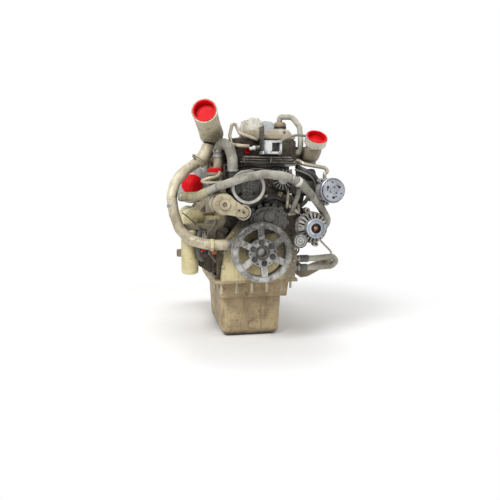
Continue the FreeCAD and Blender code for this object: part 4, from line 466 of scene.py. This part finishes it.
        "metal": 0.2, "specular": 0.25, "bump": 0.4,
        # painted highlight: light grey on the front faces of the hub's fins
        "zones": [{"limits": ((1, -1.2, -1.1385),), "colour": (0.3, 0.3, 0.29), "floor": 0.3,
                   "edge": 0.0012}]},
    "oliveSleeve": {
        "colours": ((0.4, 0.36, 0.22), (0.24, 0.21, 0.12), (0.07, 0.06, 0.04), (0.6, 0.56, 0.42)),
        "rough": (0.5, 0.8), "speck": 0.35},
    "orangeRubber": {
        "colours": ((0.48, 0.14, 0.04), (0.3, 0.08, 0.025), (0.07, 0.03, 0.02), (0.62, 0.28, 0.12)),
        "rough": (0.5, 0.8), "grimeAndShade": 0.45, "speck": 0.3},
}

materialOf = {name: weatheredAndShaded(name, look) for name, look in finishes.items()}

for finishName, look in finishes.items():
    for member in look.get("nodes", ()):
        solid = nodes[member]
        solid.data.materials.clear()
        solid.data.materials.append(materialOf[finishName])
print("finishes on the solids")


# piece-making helpers: every new piece is a grid of points worked out as whole arrays, in mm

mmPerMetre = 1000


def gridPiece(name, grid, materialName, body, closeRows=False, smooth=True):
    # grid is rows x columns x 3 in metres; columns close on themselves, rows may too
    rows, columns = grid.shape[:2]
    vertices = grid.reshape(-1, 3)
    lastRow = rows if closeRows else rows - 1
    row = np.arange(lastRow)[:, None]
    column = np.arange(columns)[None, :]
    nextRow, nextColumn = (row + 1) % rows, (column + 1) % columns
    quads = np.stack([row * columns + column, row * columns + nextColumn,
                      nextRow * columns + nextColumn, nextRow * columns + column], axis=-1)
    quads = quads.reshape(-1, 4)
    faces = quads.tolist()
    if not closeRows:
        faces.append(list(range(columns - 1, -1, -1)))
        faces.append(list(range((rows - 1) * columns, rows * columns)))
    mesh = bpy.data.meshes.new(name)
    mesh.from_pydata(vertices.tolist(), [], faces)
    # the sum over the quads is six times the volume: below zero, the faces look inwards
    a, b, c, d = (vertices[quads[:, k]] for k in range(4))
    middle = vertices.mean(axis=0)
    volume = np.einsum("ij,ij->", a - middle, np.cross(b - middle, c - middle)) + np.einsum(
        "ij,ij->", a - middle, np.cross(c - middle, d - middle))
    if volume < 0:
        mesh.flip_normals()
    mesh.polygons.foreach_set("use_smooth", np.full(len(mesh.polygons), smooth))
    mesh.update()
    piece = bpy.data.objects.new(name, mesh)
    bpy.context.collection.objects.link(piece)
    mesh.materials.append(materialOf[materialName])
    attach(piece, body)
    return piece


def section(width, height, power, count):
    # superellipse: x = w/2 * sign(cos a) * |cos a|^(2/power), y the same with sin;
    # power 2 is round, 5 nearly square
    angle = np.linspace(0, 2 * np.pi, count, endpoint=False)
    c, s = np.cos(angle), np.sin(angle)
    return np.stack([width / 2 * np.sign(c) * np.abs(c) ** (2 / power),
                     height / 2 * np.sign(s) * np.abs(s) ** (2 / power)], axis=1)


roundedShape = {"step": 4.0, "reachShare": 0.45, "fewestPoints": 4}


def roundedPath(corners, bend):
    # straight runs joined by arcs that touch both: with whole the arc's angle and t from 0 to 1,
    # point(t) = centre + (sin((1 - t) whole) * start + sin(t whole) * end) / sin(whole)
    corners = np.array(corners, float)
    pieces = [corners[:1]]
    for before, corner, after in zip(corners, corners[1:], corners[2:]):
        back, ahead = before - corner, after - corner
        lengthBack, lengthAhead = np.linalg.norm(back), np.linalg.norm(ahead)
        back, ahead = back / lengthBack, ahead / lengthAhead
        half = np.pi / 2 - np.arccos(np.clip(back @ ahead, -1, 1)) / 2
        longest = roundedShape["reachShare"] * min(lengthBack, lengthAhead)
        reach = min(bend * np.tan(half), longest)
        radius = reach / np.tan(half)
        inward = (back + ahead) / np.linalg.norm(back + ahead)
        centre = corner + inward * radius / np.cos(half)
        start, end = corner + back * reach - centre, corner + ahead * reach - centre
        whole = 2 * half
        count = max(roundedShape["fewestPoints"], int(whole * radius / roundedShape["step"]))
        turn = np.linspace(0, 1, count)[:, None]
        arc = np.sin((1 - turn) * whole) * start + np.sin(turn * whole) * end
        pieces.append(centre + arc / np.sin(whole))
    pieces.append(corners[-1:])
    return np.concatenate(pieces)


def smoothPath(points, count):
    # Catmull-Rom curve through the points, sampled evenly in its parameter
    points = np.array(points, float)
    first, last = 2 * points[:1] - points[1:2], 2 * points[-1:] - points[-2:-1]
    padded = np.concatenate([first, points, last])
    place = np.linspace(0, len(points) - 1, count)
    index = np.minimum(place.astype(int), len(points) - 2)
    t = (place - index)[:, None]
    p0, p1, p2, p3 = (padded[index + k] for k in range(4))
    return 0.5 * (2 * p1 + (p2 - p0) * t + (2 * p0 - 5 * p1 + 4 * p2 - p3) * t**2
                  + (3 * p1 - p0 - 3 * p2 + p3) * t**3)


nearlyUpright = 0.9  # past this share of z, a direction takes x and not z as its helper


def helperAxis(direction):
    return (0, 0, 1) if abs(direction[2]) < nearlyUpright else (1, 0, 0)


def framesAlong(path):
    # tangent by central difference; the normal turns as little as possible between stations
    tangent = np.gradient(path, axis=0)
    tangent /= np.linalg.norm(tangent, axis=1, keepdims=True)
    normal = np.empty_like(path)
    start = np.cross(tangent[0], helperAxis(tangent[0]))
    normal[0] = start / np.linalg.norm(start)
    for i in range(1, len(path)):
        turned = normal[i - 1] - tangent[i] * (normal[i - 1] @ tangent[i])
        normal[i] = turned / np.linalg.norm(turned)
    return tangent, normal, np.cross(tangent, normal)


def sweepPiece(name, path, shape, materialName, body="engine", scale=None):
    # point(s, a) = path(s) + scale(s) * (x(a) * normal(s) + y(a) * binormal(s)), in mm
    tangent, normal, binormal = framesAlong(path)
    scale = np.ones(len(path)) if scale is None else scale
    x, y = shape[:, 0], shape[:, 1]
    ring = x[None, :, None] * normal[:, None, :] + y[None, :, None] * binormal[:, None, :]
    grid = path[:, None, :] + ring * scale[:, None, None]
    return gridPiece(name, grid / mmPerMetre, materialName, body)


def lathePiece(name, profile, centre, axis, materialName, body="engine", count=48, lobes=0,
               lobeDepth=0.0, smooth=True, sides=0, closeRows=False):
    # point(h, a) = centre + h * axis + r(h) * (cos a * u + sin a * v), in mm; lobes ripple the
    # radius, and sides turns the circle into a polygon
    axis = np.array(axis, float) / np.linalg.norm(axis)
    u = np.cross(axis, helperAxis(axis))
    u /= np.linalg.norm(u)
    v = np.cross(axis, u)
    angle = np.linspace(0, 2 * np.pi, count, endpoint=False)
    profile = np.array(profile, float)
    radius = profile[:, 0][:, None] * (1 + lobeDepth * np.cos(lobes * angle))[None, :]
    if sides:
        share = 2 * np.pi / sides
        flat = np.cos((angle + share / 2) % share - share / 2)
        radius = radius / flat[None, :] * math.cos(math.pi / sides)
    ring = np.cos(angle)[:, None] * u + np.sin(angle)[:, None] * v
    along = profile[:, 1][:, None, None] * axis
    grid = np.array(centre, float) + along + radius[:, :, None] * ring[None]
    return gridPiece(name, grid / mmPerMetre, materialName, body, closeRows, smooth)


# power sets how square a block is; poleAngle stops just short of the pole, so the caps have area
blockShape = {"power": 6.0, "rows": 17, "columns": 32, "poleAngle": 1.565}


def lumpPiece(name, centre, size, materialName, turn):
    # superquadric block, turned about the engine's length: x, y and z are each half the size
    # times the sign and the (2/power)th power of a product of cosines and sines, in mm
    poleAngle = blockShape["poleAngle"]
    across = np.linspace(-poleAngle, poleAngle, blockShape["rows"])[:, None]
    around = np.linspace(0, 2 * np.pi, blockShape["columns"], endpoint=False)[None, :]

    def squared(value):
        return np.sign(value) * np.abs(value) ** (2 / blockShape["power"])

    x = size[0] / 2 * squared(np.cos(across)) * squared(np.cos(around))
    y = size[1] / 2 * squared(np.sin(across)) * np.ones_like(around)
    z = size[2] / 2 * squared(np.cos(across)) * squared(np.sin(around))
    c, s = math.cos(math.radians(turn)), math.sin(math.radians(turn))
    grid = np.stack([c * x - s * z, y, s * x + c * z], axis=-1) + np.array(centre, float)
    return gridPiece(name, grid / mmPerMetre, materialName, "engine")


ringShape = {"corner": 1.2, "columns": 56, "cornerPoints": 4}


def ringPiece(name, centre, axis, inner, outer, length, materialName):
    # closed ring: a rounded rectangle (inner..outer by length) turned about the axis
    corner = ringShape["corner"]
    turn = np.linspace(0, np.pi / 2, ringShape["cornerPoints"])
    arc = np.stack([np.cos(turn), np.sin(turn)], axis=1) * corner
    middle = np.array([(outer + inner) / 2, 0.0])
    reach = np.array([(outer - inner) / 2 - corner, length / 2 - corner])
    quarters = (((1, 1), 1), ((-1, 1), -1), ((-1, -1), 1), ((1, -1), -1))
    loop = [middle + reach * np.array(sign) + arc[::order] * np.array(sign)
            for sign, order in quarters]
    return lathePiece(name, np.concatenate(loop), centre, axis, materialName,
                      count=ringShape["columns"], closeRows=True)


# both profiles of a screw: (share of the radius, height), the head's last heights from its top
screwShape = {
    "core": 0.1, "washer": [(1.35, 0.1), (1.4, 0.8), (1.35, 1.6)], "washerTop": 1.7,
    "headFoot": 1.2, "head": [(0.98, 1.3), (1, 1.8)], "chamfer": 0.8, "topShare": 0.9,
    "dome": 0.05, "washerColumns": 36, "headColumns": 48,
}


def boltPiece(name, place, axis, radius, height, materialName):
    # hex head with a washer face under it, both turned from a profile
    s = screwShape
    washer = [(s["core"], 0), *((radius * r, h) for r, h in s["washer"]),
              (s["core"], s["washerTop"])]
    head = [(s["core"], s["headFoot"]), *((radius * r, h) for r, h in s["head"]),
            (radius, height - s["chamfer"]), (radius * s["topShare"], height),
            (s["core"], height + s["dome"])]
    lathePiece(name + "Washer", washer, place, axis, materialName, count=s["washerColumns"])
    lathePiece(name + "Head", head, place, axis, materialName, count=s["headColumns"],
               sides=6, smooth=False)


def cutPath(path, start, stop):
    # the part of the path between two lengths, sampled every millimetre
    steps = np.linalg.norm(np.diff(path, axis=0), axis=1)
    run = np.concatenate([[0], np.cumsum(steps)])
    wanted = np.arange(start, min(stop, run[-1]), 1.0)
    return np.stack([np.interp(wanted, run, path[:, k]) for k in range(3)], axis=1), wanted


# ribbed sleeve on the cross hose: radius(s) = radius + ridge * cos(2 pi s / pitch), closed down
# to the hose's own radius at both ends
crossHose = {
    "corners": [(-370, -1008, 254), (-282, -1048, 257), (-220, -1118, 294), (-176, -1206, 316),
                (-91, -1218, 346)],
    "bend": 90, "from": 4, "to": 168, "radius": 21.6, "ridge": 1.3, "pitch": 12.0,
    "hoseRadius": 18.2, "endLength": 2.0, "sectionWidth": 20, "columns": 40,
}

hosePath = roundedPath(crossHose["corners"], crossHose["bend"])
sleevePath, sleeveRun = cutPath(hosePath, crossHose["from"], crossHose["to"])
ribs = np.cos(2 * np.pi * sleeveRun / crossHose["pitch"])
sleeveRadius = crossHose["radius"] + crossHose["ridge"] * ribs
toEnd = np.minimum(sleeveRun - sleeveRun[0], sleeveRun[-1] - sleeveRun)
endFade = np.minimum(1, toEnd / crossHose["endLength"])
hoseRadius = crossHose["hoseRadius"]
sleeveScale = hoseRadius + (sleeveRadius - hoseRadius) * np.sqrt(endFade)
sleeveWidth = crossHose["sectionWidth"]
sweepPiece("crossHoseSleeve", sleevePath,
           section(sleeveWidth, sleeveWidth, 2, crossHose["columns"]), "oliveSleeve",
           scale=sleeveScale / (sleeveWidth / 2))


# small pipes, hoses and cables: each a round bar along a smooth curve through its points
runShape = {"rowsPerPoint": 16, "columns": 22}
runs = [
    {"name": "loopPipe", "radius": 7.5, "finish": "palePipe",
     "points": [(-182, -1074, 372), (-198, -1096, 352), (-240, -1103, 342), (-268, -1102, 330),
                (-240, -1104, 322), (-200, -1102, 322), (-176, -1078, 330)]},
    {"name": "bridgePipe", "radius": 8.6, "finish": "palePipe",
     "points": [(-152, -1040, 512), (-122, -1038, 504), (-92, -1036, 498.2), (-34, -1036, 494.2)]},
    {"name": "inletVentPipe", "radius": 6.0, "finish": "dustyHose",
     "points": [(240, -1056, 546), (196, -1060, 548), (164, -1056, 541), (131, -1048, 527),
                (97, -1044, 512), (84, -1040, 500)]},
    {"name": "loomHeadFront", "radius": 5.5, "finish": "oilySteel",
     "points": [(-150, -1028, 404), (-96, -1036, 398), (-30, -1032, 408), (30, -1036, 399),
                (96, -1032, 405), (150, -1030, 396)]},
    {"name": "loomHeadLow", "radius": 4.0, "finish": "blackRubber",
     "points": [(-120, -1026, 386), (-60, -1034, 378), (0, -1030, 388), (70, -1034, 380),
                (130, -1026, 372), (180, -1030, 384)]},
    {"name": "hoseBehindPump", "radius": 12.0, "finish": "blackRubber",
     "points": [(-150, -1040, 232), (-128, -1078, 206), (-84, -1082, 196), (-46, -1074, 214),
                (-24, -1040, 236)]},
    {"name": "hoseUnderFan", "radius": 11.0, "finish": "oilySteel",
     "points": [(20, -1040, 214), (40, -1076, 236), (78, -1082, 252), (120, -1078, 238),
                (150, -1044, 214)]},
    {"name": "flankCable", "radius": 2.6, "finish": "oilySteel",
     "points": [(-352, -968, 176), (-322, -976, 152), (-290, -990, 122), (-262, -1002, 100),
                (-240, -1004, 92)]},
    {"name": "flankHose", "radius": 13.0, "finish": "blackRubber",
     "points": [(-268, -985, 84), (-277, -1014, 60), (-281, -1022, 20), (-279, -1020, -24),
                (-262, -1000, -52)]},
    {"name": "loomLeftFlank", "radius": 5.0, "finish": "blackRubber",
     "points": [(-196, -1026, 150), (-210, -1044, 110), (-236, -1050, 84), (-238, -1048, 30),
                (-226, -1044, -20), (-198, -1036, -60)]},
    {"name": "acLoom", "radius": 5.0, "finish": "blackRubber",
     "points": [(196, -1030, 384), (226, -1064, 372), (262, -1074, 352), (288, -1060, 322),
                (300, -1050, 280)]},
    {"name": "acHose", "radius": 12.0, "finish": "oilySteel",
     "points": [(212, -1000, 400), (240, -1044, 380), (282, -1056, 356), (304, -1050, 320),
                (296, -1040, 276), (262, -1040, 236)]},
    {"name": "acHoseLow", "radius": 10.0, "finish": "blackRubber",
     "points": [(214, -1010, 350), (236, -1052, 326), (256, -1066, 288), (250, -1066, 246),
                (226, -1056, 214), (206, -1030, 196)]},
    {"name": "alternatorLead", "radius": 5.5, "finish": "blackRubber",
     "points": [(206, -1030, 170), (196, -1070, 150), (190, -1082, 118), (196, -1080, 84),
                (214, -1060, 56)]},
    {"name": "vibrationLead", "radius": 4.0, "finish": "oilySteel",
     "points": [(196, -1020, 40), (204, -1052, 18), (212, -1054, -10), (204, -1030, -34)]},
    {"name": "topLoom", "radius": 6.0, "finish": "blackRubber",
     "points": [(150, -990, 566), (152, -900, 588), (150, -760, 588), (146, -560, 586),
                (150, -360, 588), (160, -180, 580), (176, -120, 548)]},
    {"name": "leftLoom", "radius": 6.0, "finish": "blackRubber",
     "points": [(-128, -980, 512), (-140, -900, 520), (-142, -760, 514), (-140, -560, 518),
                (-142, -360, 512), (-136, -180, 516)]},
    {"name": "strapPipe", "radius": 6.5, "finish": "palePipe",
     "points": [(138, -1066, 292), (138, -1096, 292), (140, -1112, 270), (137, -1112, 226),
                (138, -1096, 204), (138, -1066, 200)]},
]
for run in runs:
    width = 2 * run["radius"]
    path = smoothPath(run["points"], runShape["rowsPerPoint"] * len(run["points"]))
    sweepPiece(run["name"], path, section(width, width, 2, runShape["columns"]), run["finish"])


# band clamps, beads, cuffs and flanges that go round the pipes
rings = [
    {"name": "outletBand", "centre": (-197, -888, 561.5), "axis": (63, 238, -94), "inner": 56.0,
     "outer": 60.0, "length": 9, "finish": "wornSteel"},
    {"name": "outletBead", "centre": (-205.5, -920, 574), "axis": (63, 238, -94), "inner": 55.5,
     "outer": 58.4, "length": 5, "finish": "palePipe"},
    {"name": "coolantFlangeA", "centre": (-256, -905, 438), "axis": (-54, 0, -80), "inner": 33,
     "outer": 41, "length": 7, "finish": "palePipe"},
    {"name": "coolantFlangeB", "centre": (-261.6, -905, 429.7), "axis": (-54, 0, -80), "inner": 33,
     "outer": 41, "length": 7, "finish": "palePipe"},
    {"name": "coolantBandLow", "centre": (-226, -1096.4, 30.6), "axis": (1, 0, 0), "inner": 24.6,
     "outer": 28.4, "length": 16, "finish": "filterPaint"},
    {"name": "coolantBandSide", "centre": (-402, -1006, 214), "axis": (-10, 15, 80), "inner": 24.2,
     "outer": 26.2, "length": 12, "finish": "wornSteel"},
    {"name": "hoseCuffRight", "centre": (167, -1196, 326), "axis": (70, 30, -44), "inner": 18.6,
     "outer": 22.4, "length": 17, "finish": "whitePlastic"},
    {"name": "returnCuffA", "centre": (258, -985, -62), "axis": (1, 0, 0), "inner": 14.8,
     "outer": 18.6, "length": 44, "finish": "blackRubber"},
    {"name": "returnCuffB", "centre": (256, -985, -108), "axis": (1, 0, 0), "inner": 14.8,
     "outer": 18.6, "length": 36, "finish": "blackRubber"},
    {"name": "bypassBandTop", "centre": (-177, -996, 470), "axis": (0, 0, 1), "inner": 24.8,
     "outer": 27.4, "length": 10, "finish": "wornSteel"},
    {"name": "separatorBand", "centre": (160, -850, 600), "axis": (0, 0, 1), "inner": 32.8,
     "outer": 35.0, "length": 9, "finish": "oilySteel"},
]
for ring in rings:
    ringPiece(ring["name"], ring["centre"], ring["axis"], ring["inner"], ring["outer"],
              ring["length"], ring["finish"])


# clamp screws: a small barrel with a waist, beside a band
clampScrews = [
    {"name": "clampScrewA", "centre": (-172, -1184, 322), "axis": (1, 0.2, 0.3), "length": 15},
    {"name": "clampScrewB", "centre": (-252, -906, 592), "axis": (1, -0.4, 0), "length": 20},
    {"name": "clampScrewC", "centre": (-204, -1008, 476), "axis": (0.2, -1, 0), "length": 15},
    {"name": "clampScrewD", "centre": (-232, -1119, 12), "axis": (1, 0, 0), "length": 15},
    {"name": "clampScrewE", "centre": (-290, -936, 452), "axis": (-0.3, -1, 0.2), "length": 18},
]
for screw in clampScrews:
    length = screw["length"]
    barrel = [(0.2, 0), (4.2, 0.3), (4.2, 5), (2.3, 5.4), (2.3, 7), (4.2, 7.4),
              (4.2, length - 0.5), (0.2, length)]
    lathePiece(screw["name"], barrel, screw["centre"], screw["axis"], "wornSteel", count=24)


# bosses, plugs and fittings: turned profiles of (radius, height)
fittings = [
    {"name": "paleFitting",
     "profile": [(0.2, 0), (7, 0.4), (8, 2), (8, 18), (11, 18.4), (11, 30), (8, 30.4), (8, 50),
                 (6, 52), (0.2, 52.4)], "centre": (-34, -1046, 482), "axis": (54, 6, 10),
     "finish": "whitePlastic"},
    {"name": "orangePlug",
     "profile": [(0.2, 0), (7, 0.4), (9, 3), (9, 12), (6, 14), (6, 20), (0.2, 21)],
     "centre": (-262, -1030, -2), "axis": (0.3, -1, 0.5), "finish": "redPlastic"},
    {"name": "rubberBoss",
     "profile": [(0.2, 0), (11, 0.4), (12, 3), (12, 15), (15, 16), (15, 20), (0.2, 20.4)],
     "centre": (-214, -1092, -14), "axis": (0, 0, 1), "finish": "orangeRubber"},
    {"name": "rotorNut",
     "profile": [(0.2, 0), (9.6, 0.4), (9.6, 7), (8.4, 8), (5.5, 8.2), (5.5, 11), (4.6, 12),
                 (0.2, 12.4)], "centre": (258, -1176, 108), "axis": (0, -1, 0),
     "finish": "copperNut", "body": "alternator_rotor"},
    {"name": "idlerNut",
     "profile": [(0.2, 0), (9.5, 0.3), (9.5, 1.2), (7.4, 1.6), (7.4, 6), (6.4, 7), (0.2, 7.3)],
     "centre": (182, -1192, 51), "axis": (0, -1, 0), "finish": "wornSteel", "body": "belt_idler"},
    {"name": "coverBoss",
     "profile": [(0.2, 0), (20, 0.4), (20, 5), (15, 6), (15, 10), (12, 11), (0.2, 11.3)],
     "centre": (-150, -1030, 92), "axis": (0, -1, 0), "finish": "darkCasting"},
    {"name": "gearPlug",
     "profile": [(0.2, 0), (15, 0.4), (15, 8), (12, 9), (8, 9.2), (7.5, 6), (0.2, 5.8)],
     "centre": (-20, -1022, 224), "axis": (0, -1, 0), "finish": "oilySteel"},
]
for item in fittings:
    lathePiece(item["name"], item["profile"], item["centre"], item["axis"], item["finish"],
               item.get("body", "engine"), 40)

fillerCap = {
    "profile": [(0.2, -0.4), (24, 0), (24, 9), (28, 10), (32, 12), (32, 26), (30, 30), (24, 33),
                (0.2, 34)],
    "centre": (120, -700, 579), "lobes": 12, "lobeDepth": 0.035, "columns": 96,
}
lathePiece("fillerCap", fillerCap["profile"], fillerCap["centre"], (0, 0, 1), "blackRubber",
           count=fillerCap["columns"], lobes=fillerCap["lobes"], lobeDepth=fillerCap["lobeDepth"])


# small castings and brackets, and two dark blocks of painted shade: rounded blocks, each turned
# # about the engine's length
blocks = [
    {"name": "flankBracket", "centre": (-224, -1034, 14), "size": (64, 14, 34), "turn": 24,
     "finish": "oilySteel"},
    {"name": "flankBracketFoot", "centre": (-250, -1026, -22), "size": (30, 18, 26), "turn": -12,
     "finish": "darkCasting"},
    {"name": "lineClipLeft", "centre": (-62, -1058, 432), "size": (9, 22, 34), "turn": 0,
     "finish": "blackRubber"},
    {"name": "lineClipRight", "centre": (66, -1058, 432), "size": (9, 22, 34), "turn": 0,
     "finish": "blackRubber"},
    {"name": "alternatorBraceA", "centre": (172, -1096, 196), "size": (62, 12, 15), "turn": -38,
     "finish": "whitePlastic"},
    {"name": "alternatorBraceB", "centre": (196, -1098, 196), "size": (13, 12, 52), "turn": 6,
     "finish": "tensionerCasting"},
    {"name": "alternatorBraceC", "centre": (164, -1090, 172), "size": (42, 14, 14), "turn": 8,
     "finish": "tensionerCasting"},
    {"name": "strapPlate", "centre": (112, -1052, 236), "size": (24, 14, 86), "turn": -8,
     "finish": "tensionerCasting"},
    {"name": "pumpLug", "centre": (-138, -1050, 246), "size": (34, 22, 30), "turn": 20,
     "finish": "darkCasting"},
    {"name": "sensorBody", "centre": (54, -1042, 372), "size": (30, 24, 22), "turn": 0,
     "finish": "oilySteel"},
    {"name": "sensorBodyLeft", "centre": (-30, -1040, 372), "size": (26, 22, 18), "turn": 0,
     "finish": "headCasting"},
    # painted shade: the next two dark blocks fill the shaded gaps behind the compressor and the
    # alternator
    {"name": "compressorShadeFill", "centre": (262, -1010, 322), "size": (96, 22, 132), "turn": 4,
     "finish": "darkCasting"},
    {"name": "alternatorShadeFill", "centre": (206, -1030, 236), "size": (62, 20, 120), "turn": -12,
     "finish": "darkCasting"},
    {"name": "connectorBlock", "centre": (162, -1046, 372), "size": (26, 26, 24), "turn": 12,
     "finish": "blackRubber"},
]
for block in blocks:
    lumpPiece(block["name"], block["centre"], block["size"], block["finish"], block["turn"])


# screws on the castings at the front
headScrews = [
    {"name": "bracketScrew",
     "places": [(36, -1093.5, 466), (106, -1093.5, 466), (106, -1093.5, 512)], "radius": 5.0,
     "height": 5, "finish": "wornSteel"},
    {"name": "tensionerScrew", "places": [(-216, -1147.5, 258), (-214, -1147.5, 190)],
     "radius": 5.0, "height": 5, "finish": "oilySteel"},
    {"name": "frontScrew",
     "places": [(-132, -1022.5, 372), (-70, -1022.5, 386), (20, -1022.5, 392), (88, -1022.5, 386),
                (170, -1022.5, 352), (150, -1022.5, 300)], "radius": 7.0, "height": 7,
     "finish": "oilySteel"},
]
for kind in headScrews:
    for index, place in enumerate(kind["places"]):
        boltPiece(f"{kind['name']}{index}", place, (0, -1, 0), kind["radius"], kind["height"],
                  kind["finish"])


def aroundPlace(centre, radius, degrees, face):
    # centre + radius * (cos t, sin t) in the plane y = face; degrees may be a whole array
    angle = np.radians(degrees)
    x, z = centre[0] + radius * np.cos(angle), centre[1] + radius * np.sin(angle)
    return np.stack([x, np.full_like(angle, face), z], axis=-1)


# rusty tapped bosses on the wheel's web: they turn with the crank
wheelTaps = {
    "centre": (0.0, 0.0), "radius": 58.0, "face": -1178.5, "firstDegrees": 5.0, "count": 6,
    "profile": [(2.2, 4.0), (2.2, -0.6), (2.6, -0.9), (5.4, -0.9), (5.8, -0.4), (5.8, 4.0)],
}
for index in range(wheelTaps["count"]):
    degrees = wheelTaps["firstDegrees"] + 360 / wheelTaps["count"] * index
    place = aroundPlace(wheelTaps["centre"], wheelTaps["radius"], degrees, wheelTaps["face"])
    lathePiece(f"wheelTap{index}", wheelTaps["profile"], place, (0, 1, 0), "rustyIron", "crank",
               28, closeRows=True)

# slots (radius, first and last degree) and dots (radius, degree) on the clutch plate
clutchMarks = {
    "centre": (346.0, 285.0), "face": -1176.6,
    "slots": [(31, 20, 62), (31, 140, 182), (31, 260, 302)], "slotRows": 24,
    "slotSection": (5.0, 1.4, 4, 16),
    "dots": [(17, 80), (17, 200), (17, 320), (40, 100), (40, 220), (40, 340)],
    "dotProfile": [(0.1, 0.5), (3.4, 0.5), (3.4, -0.5), (2.6, -0.9), (0.1, -1.0)],
}
clutchCentre, clutchFace = clutchMarks["centre"], clutchMarks["face"]
for index, (radius, start, stop) in enumerate(clutchMarks["slots"]):
    degrees = np.linspace(start, stop, clutchMarks["slotRows"])
    arc = aroundPlace(clutchCentre, radius, degrees, clutchFace)
    sweepPiece(f"clutchSlot{index}", arc, section(*clutchMarks["slotSection"]), "oilySteel",
               "compressor_shaft")
for index, (radius, degrees) in enumerate(clutchMarks["dots"]):
    place = aroundPlace(clutchCentre, radius, degrees, clutchFace)
    lathePiece(f"clutchDot{index}", clutchMarks["dotProfile"], place, (0, 1, 0), "oilySteel",
               "compressor_shaft", 20)


# core plugs in the block's walls: a shallow cup with a raised rim, one per cylinder and side
corePlugs = {
    "wall": 146.0, "height": 232.0, "rear": -190.0, "pitch": 148.0, "count": 6,
    "profile": [(0.2, -1.0), (31, -1.0), (31, 2.2), (29.5, 2.8), (25.5, 2.8), (24.5, 2.0),
                (24.0, 0.6), (0.2, 0.5)],
}
for side, direction in (("Left", -1), ("Right", 1)):
    for index in range(corePlugs["count"]):
        place = (direction * corePlugs["wall"], corePlugs["rear"] - corePlugs["pitch"] * index,
                 corePlugs["height"])
        lathePiece(f"corePlug{side}{index}", corePlugs["profile"], place, (direction, 0, 0),
                   "wornSteel", count=40)
print("small pieces ready")


# floor, backdrop and light

studio = {
    "floorZ": -0.4665, "floorSize": 60.0, "floorColour": (0.90, 0.90, 0.895),
    "floorRoughness": 0.9, "floorSpecular": 0.1, "whiteCentre": (0, -0.6), "whiteFrom": 0.75,
    "whiteTo": 1.6, "skyStrength": 0.36, "skyColour": (1.0, 1.0, 1.0), "seenStrength": 1.0,
}


def seenDirectly(tree):
    # 1 where the camera, a reflection or glass sees the surface
    path = tree.nodes.new("ShaderNodeLightPath")
    seen = mathOf(tree, path.outputs["Is Camera Ray"], path.outputs["Is Glossy Ray"], "MAXIMUM")
    return mathOf(tree, seen, path.outputs["Is Transmission Ray"], "MAXIMUM")


half = studio["floorSize"] / 2
corners = [(-half, -half), (half, -half), (half, half), (-half, half)]
floorMesh = bpy.data.meshes.new("floor")
floorMesh.from_pydata([(x, y, studio["floorZ"]) for x, y in corners], [], [(0, 1, 2, 3)])
floorPlane = bpy.data.objects.new("floor", floorMesh)
bpy.context.collection.objects.link(floorPlane)
floorMaterial, floorTree, floorShader = newMaterial("paleFloor")
floorShader.inputs["Base Color"].default_value = (*studio["floorColour"], 1.0)
floorShader.inputs["Roughness"].default_value = studio["floorRoughness"]
floorShader.inputs["Specular IOR Level"].default_value = studio["floorSpecular"]
# away from the object's shadow the floor turns into plain white, so that no horizon shows
floorSeen = seenDirectly(floorTree)
floorCoords = floorTree.nodes.new("ShaderNodeTexCoord").outputs["Object"]
fromCentre = floorTree.nodes.new("ShaderNodeVectorMath")
fromCentre.operation = "DISTANCE"
fromCentre.inputs[1].default_value = (*studio["whiteCentre"], studio["floorZ"])
floorTree.links.new(floorCoords, fromCentre.inputs[0])
farAway = stepOf(floorTree, fromCentre.outputs["Value"], studio["whiteFrom"], studio["whiteTo"])
glow = floorTree.nodes.new("ShaderNodeEmission")
glow.inputs["Color"].default_value = (*studio["skyColour"], 1.0)
glow.inputs["Strength"].default_value = studio["seenStrength"]
blend = floorTree.nodes.new("ShaderNodeMixShader")
floorTree.links.new(mathOf(floorTree, floorSeen, farAway), blend.inputs[0])
floorTree.links.new(floorShader.outputs["BSDF"], blend.inputs[1])
floorTree.links.new(glow.outputs["Emission"], blend.inputs[2])
floorOutput = next(node for node in floorTree.nodes if node.type == "OUTPUT_MATERIAL")
floorTree.links.new(blend.outputs["Shader"], floorOutput.inputs["Surface"])
floorMesh.materials.append(floorMaterial)

# the sky is full white where it is seen directly, and softer as a lamp
world = bpy.data.worlds.new("studio")
bpy.context.scene.world = world
world.use_nodes = True
worldTree = world.node_tree
background = worldTree.nodes["Background"]
strength = worldTree.nodes.new("ShaderNodeMapRange")
strength.inputs["To Min"].default_value = studio["skyStrength"]
strength.inputs["To Max"].default_value = studio["seenStrength"]
worldTree.links.new(seenDirectly(worldTree), strength.inputs["Value"])
worldTree.links.new(strength.outputs["Result"], background.inputs["Strength"])
background.inputs["Color"].default_value = (*studio["skyColour"], 1.0)

lamps = [
    {"name": "keyLamp", "place": (-2.2, -3.4, 3.2), "aim": (0, -0.7, 0.1), "size": 1.6,
     "watts": 165},
    {"name": "fillLamp", "place": (2.6, -2.8, 1.6), "aim": (0, -0.7, 0.1), "size": 1.8,
     "watts": 30},
    {"name": "topLamp", "place": (0.2, 0.6, 3.6), "aim": (0, -0.6, 0.2), "size": 2.4, "watts": 80},
]
for lamp in lamps:
    lampData = bpy.data.lights.new(lamp["name"], "AREA")
    lampData.energy = lamp["watts"]
    lampData.size = lamp["size"]
    lampObject = bpy.data.objects.new(lamp["name"], lampData)
    lampObject.location = lamp["place"]
    aim = Vector(lamp["aim"]) - Vector(lamp["place"])
    lampObject.rotation_euler = aim.to_track_quat("-Z", "Y").to_euler()
    bpy.context.collection.objects.link(lampObject)
print("studio ready")
